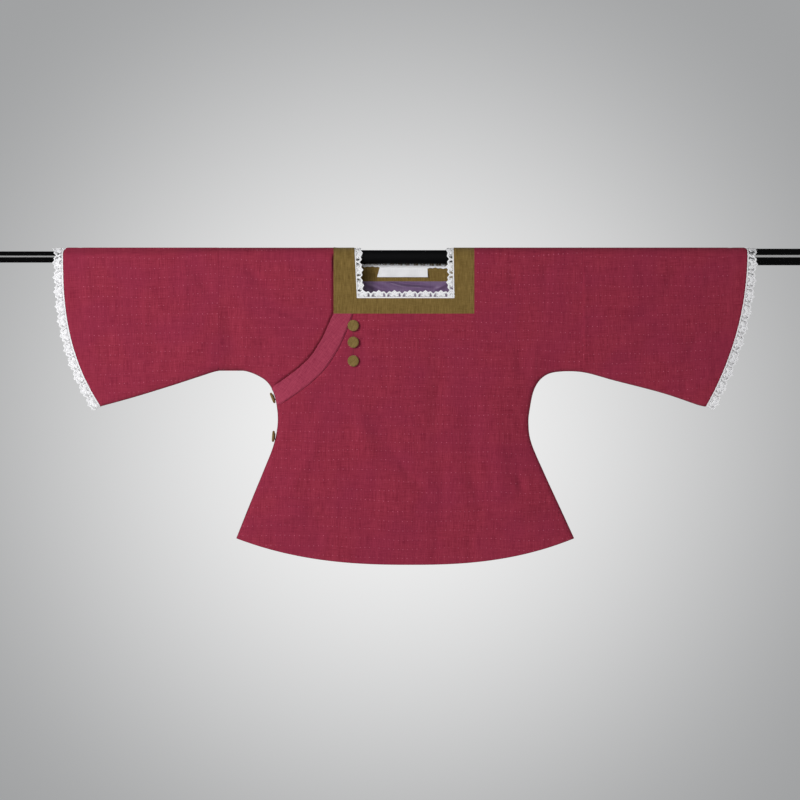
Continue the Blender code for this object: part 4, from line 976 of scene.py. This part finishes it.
# How far the path of a straight or bent lace runs on past its ends
LEG_TAIL = 0.003


def leg(line, inwards, layer, lifted=True):
    """Where lace lies along a straight or bent flat line, reaching inwards from it, and past its ends."""
    line = np.array(line, dtype=float)
    first, last = (end / np.linalg.norm(end) * LEG_TAIL for end in (line[0] - line[1], line[-1] - line[-2]))
    line = np.vstack([line[0] + first, line, line[-1] + last])
    runs = runs_along(line) - LEG_TAIL

    def place(s, t, height):
        x = np.interp(s, runs, line[:, 0]) + inwards[0] * (t + SEAM)
        w = np.interp(s, runs, line[:, 1]) + inwards[1] * (t + SEAM)
        return hang(x, w, layer + height + (lift(x, w) if lifted else 0))

    return runs[-2], place


bm = bmesh.new()
start, bottom = NECK_BACK - FOLD + CLEAR, FOLD - NECK_FRONT
for line, inwards, layer, start_of_repeat in (
        ([(NECK_LEFT_TOP, start), (NECK_LEFT_TOP, 0), (NECK_LEFT_FRONT, bottom)], (1, 0), 0.0002, 0.0060),
        ([(NECK_LEFT_FRONT, bottom), (NECK_RIGHT_FRONT, bottom)], (0, -1), 0.0009, 0.0020),
        ([(NECK_RIGHT_FRONT, bottom), (NECK_RIGHT_TOP, 0), (NECK_RIGHT_TOP, start)], (-1, 0), 0.0002,
         0.0120)):
    length, place = leg(line, inwards, layer)
    lace(bm, length, 0.0248, 0.0084, 0.0142, place, 0.00024, 0.0027, start=start_of_repeat)
lace_piece("neck_lace_threads", "neck_lace", bm)

bm = bmesh.new()
top = NECK_BACK - FOLD - 2 * CLEAR
length, place = leg([(NECK_LEFT_TOP + 0.004, top), (NECK_RIGHT_TOP - 0.004, top)], (0, -1), -0.0022, False)
lace(bm, length, 0.0250, 0.0072, 0.0094, place, 0.00014, 0.0034, picot=0.0010, grow=0.0030)
lace_piece("back_neck_lace_threads", "back_neck_lace", bm)


# The label: a bare woven white tape on the inside of the band's back, its lower edge a little loose. Its
# ends, folded under on the tape, are drawn flat.

# How far its upper and lower edge lie below the rod's axis
LABEL_TOP, LABEL_LOW = 0.0135, 0.0320

tape = woven("bare_woven_label_tape", "ececf0", "fcfcfd", 0.55, warp=(0.0006, 0.010), weft=(0.020, 0.0006),
             relief=0.00006, constants={"Sheen Weight": 0.1, "Specular IOR Level": 0.4})
top, low = -(FOLD + LABEL_TOP), -(FOLD + LABEL_LOW)
cloth("label_tape", "label", [[(-0.0400, top), (-0.0451, low), (0.0362, low), (0.0356, top)]], [tape, tape],
      inner=-TRIM_WALL - CLEAR, wall=TRIM_WALL, cell=0.002,
      ripple=lambda x, w: (-0.0012 * smoothstep(0.004, 0.0185, -w - FOLD - LABEL_TOP)
                           * (1 + 0.6 * np.sin(x * 190 + 1))))


# The covered buttons: a pressed shell under olive ribbed cotton, gathered into its back plate, on a wound
# thread shank. Three stand beside the opening and two on the side edge.

BUTTON_RADIUS, BUTTON_HEIGHT, BUTTON_RIM, BUTTON_DISH = 0.0090, 0.0056, 0.0030, 0.0010
# The shank's reach and top, the gathers of the cover, and half the width of what a button rests on
SHANK_REACH, SHANK_TOP, GATHERS, BUTTON_FOOT = 0.0055, 0.00115, 18, 0.0032
CHEST_BUTTON_X, CHEST_BUTTON_Z = -0.0829, (-0.1099, -0.1365, -0.1664)
# Height, and lean in degrees
SIDE_BUTTONS = ((-0.2240, 22), (-0.2872, -4))

# Waxed thread: dark red, wound close. On the button shanks it is also painted shade under the rims.
thread_and_painted_shade, tree, shader = new_material("waxed_thread_and_painted_shade", "4a1424", 0.6)
place = add_node(tree, "TexCoord").outputs["Object"]
twist = add_node(tree, "TexNoise", {"Vector": place, "Scale": 2200.0, "Detail": 1})
bump = add_node(tree, "Bump", {"Height": twist.outputs[0], "Distance": 0.0002, "Strength": 0.8})
tree.links.new(bump.outputs[0], shader.inputs["Normal"])

# The band's ribbed cotton, a little lighter, with a strong pink-tinted sheen: painted rim highlights.
olive_with_painted_rim_sheen = woven("ribbed_olive_cotton_with_painted_rim_sheen", "6a562a", "947c4a", 0.85, **RIBBED,
                   constants={"Sheen Weight": 0.7, "Sheen Roughness": 0.35, "Sheen Tint": linear("f2cfb8"),
                              "Specular IOR Level": 0.2})


def covered_button(node, place, way, turn):
    """A covered button with its axis along a direction, the cloth's ribs turned a little on each."""
    bm = bmesh.new()
    profile = [(0, 0, BUTTON_HEIGHT - BUTTON_DISH)]
    for i in range(1, 17):
        angle = math.radians(90 * i / 16)
        radius = BUTTON_RADIUS * math.sin(angle) ** 0.75
        dish = BUTTON_DISH * math.exp(-(radius / 0.0056) ** 4)
        crown = (BUTTON_HEIGHT - BUTTON_RIM) * math.cos(angle) ** 0.6
        profile.append((radius, 0, BUTTON_RIM + crown - dish))
    profile += [(0.0089, 0, 0.0023), (0.0084, 0, 0.0016), (0.0074, 0, 0.0012), (0.0060, 0, 0.0010),
                (0.0058, 0, 0.0011), (0.0054, 0, 0.0011), (0.0051, 0, 0.0009), (0.0053, 0, 0.0006),
                (0.0051, 0, 0.0003), (0.0053, 0, 0.0), (0, 0, 0)]
    turned(bm, profile, (0, 0, 1), 72)
    points = np.array([v.co for v in bm.verts])
    radius, angle = np.hypot(points[:, 0], points[:, 1]), np.arctan2(points[:, 1], points[:, 0])
    gathered = np.where((radius > SHANK_REACH) & (points[:, 2] < BUTTON_RIM + 0.0006), 1.0, 0.0)
    points[:, :2] *= (1 - 0.010 * gathered * (0.5 + 0.5 * np.cos(GATHERS * angle)))[:, None]
    for vert, point in zip(bm.verts, points):
        vert.co = point
    # The shank's dark thread is partly painted shade: it darkens the gap under the button's rim.
    for face in bm.faces:
        middle = face.calc_center_median()
        face.material_index = int(math.hypot(middle.x, middle.y) < SHANK_REACH and middle.z < SHANK_TOP)
    mesh = finished_mesh(node + "_cover", bm)
    cos, sin = math.cos(turn), math.sin(turn)
    map_cut(mesh, np.column_stack([points[:, 0] * cos - points[:, 1] * sin,
                                   points[:, 0] * sin + points[:, 1] * cos]))
    mesh.transform(Matrix.Translation(place) @ way.to_track_quat("Z", "Y").to_matrix().to_4x4())
    add_piece(node + "_cover", mesh, [olive_with_painted_rim_sheen, thread_and_painted_shade], [node])


for number, z in enumerate(CHEST_BUTTON_Z, 1):
    foot = (-BUTTON_FOOT, 0, BUTTON_FOOT)
    steps = np.array([(dx, dz) for dx in foot for dz in foot])
    x, w = CHEST_BUTTON_X + steps[:, 0], FOLD - z - steps[:, 1]
    under = hang(x, w, WALL + lift(x, w))[:, 1].min()
    covered_button(f"chest_button_{number}", Vector((CHEST_BUTTON_X, under - 0.0001, z)),
                   Vector((0, -1, 0)), 0.2 * number)
for number, (z, lean) in enumerate(SIDE_BUTTONS, 1):
    way = Vector((-math.cos(math.radians(lean)), 0, -math.sin(math.radians(lean))))
    middle = Vector((place_at(LEFT_SEAM, z)[0], 0, z))
    near = [place_at(LEFT_SEAM, z + step) for step in (-BUTTON_FOOT, BUTTON_FOOT)]
    reach = max((Vector((p[0], 0, p[1])) - middle).dot(way) for p in near)
    covered_button(f"side_button_{number}", middle + way * (CLEAR + reach), way, 1.3 + number)


# The thread that is carried from one chest button's shank to the next, on top of the cloth.

THREAD_RADIUS, THREAD_POINTS = 0.00022, 14

carried = []
for upper, lower in zip(CHEST_BUTTON_Z, CHEST_BUTTON_Z[1:]):
    z = np.linspace(upper - 0.0030, lower + 0.0030, THREAD_POINTS)
    x = CHEST_BUTTON_X - 0.0006 + 0.0003 * np.sin(np.linspace(0, 3, THREAD_POINTS))
    carried.append(hang(x, FOLD - z, WALL + 0.00016 + lift(x, FOLD - z)))
add_piece("chest_button_thread", tubes(carried, THREAD_RADIUS, False), [thread_and_painted_shade])


# The studio: a pale floor well below, a wide soft light ahead, a smaller one ahead to the left, one from
# the right and one from behind, and pale air all round. The camera looks straight at the front through a
# long lens.

floor_paint, tree, shader = new_material("pale_matt_floor", "e4e4e2", 0.9)
bm = bmesh.new()
bmesh.ops.create_circle(bm, cap_ends=True, segments=96, radius=3.2,
                        matrix=Matrix.Translation((0, 0, -1.2)))
mesh = finished_mesh("floor", bm)
mesh.materials.append(floor_paint)
floor = bpy.data.objects.new("floor", mesh)
bpy.context.scene.collection.objects.link(floor)
floor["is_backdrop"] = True
floor.visible_glossy = False

for name, place, size, watts, aim in (
        ("front", (-0.4, -6.3, 1.1), (5.0, 3.4), 74, (0, 0, -0.1)),
        ("key", (-2.0, -2.6, 0.65), (0.9, 0.9), 70, (-0.1, 0, -0.2)),
        ("side", (3.4, 1.6, 0.9), (1.6, 1.6), 40, (0.2, 0, -0.2)),
        ("back", (-1.2, 4.6, 1.2), (2.2, 2.2), 110, (0, 0, -0.2))):
    lamp = bpy.data.lights.new(name, "AREA")
    lamp.shape, lamp.size, lamp.size_y, lamp.energy = "RECTANGLE", size[0], size[1], watts
    light = bpy.data.objects.new(name, lamp)
    light.location = place
    light.rotation_euler = (Vector(aim) - Vector(place)).to_track_quat("-Z", "Y").to_euler()
    light.visible_camera = False
    light.visible_glossy = name in ("front", "key")
    bpy.context.scene.collection.objects.link(light)

# Pale air with a soft pool of light far behind the garment. It lights the cloth only weakly.
world = bpy.context.scene.world or bpy.data.worlds.new("studio")
bpy.context.scene.world = world
world.use_nodes = True
tree = world.node_tree
toward = add_node(tree, "TexCoord").outputs["Generated"]
away = add_node(tree, "VectorMath", {0: toward, 1: (-0.002, 1.0, -0.006)},
                operation="DISTANCE").outputs["Value"]
pool = add_node(tree, "MapRange", {"Value": away, 1: 0.0, 2: 0.114, 3: 1, 4: 0},
                interpolation_type="SMOOTHSTEP")
air = add_node(tree, "Mix", {0: pool.outputs[0], 6: linear("a1a2a3"), 7: linear("f3f3f3")},
               data_type="RGBA")
seen = add_node(tree, "LightPath").outputs["Is Camera Ray"]
shine = add_node(tree, "LightPath").outputs["Is Glossy Ray"]
strength = add_node(tree, "MapRange", {"Value": seen, 3: 0.17, 4: 1.0}).outputs[0]
strength = add_node(tree, "Math", {0: shine, 1: -0.14, 2: strength}, operation="MULTIPLY_ADD")
tree.links.new(air.outputs[2], tree.nodes["Background"].inputs["Color"])
tree.links.new(strength.outputs[0], tree.nodes["Background"].inputs["Strength"])
bpy.context.scene.view_settings.view_transform = "Standard"

camera = bpy.data.cameras.new("camera")
camera.lens, camera.sensor_width, camera.clip_end = 225, 36, 100
eye = bpy.data.objects.new("camera", camera)
eye.location = (-0.0083, -8.0, -0.2288)
eye.rotation_euler = (math.radians(90), 0, 0)
bpy.context.scene.collection.objects.link(eye)
bpy.context.scene.camera = eye

low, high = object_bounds()
{"cad": [list(cad_low), list(cad_high)], "visual": [list(low), list(high)]}
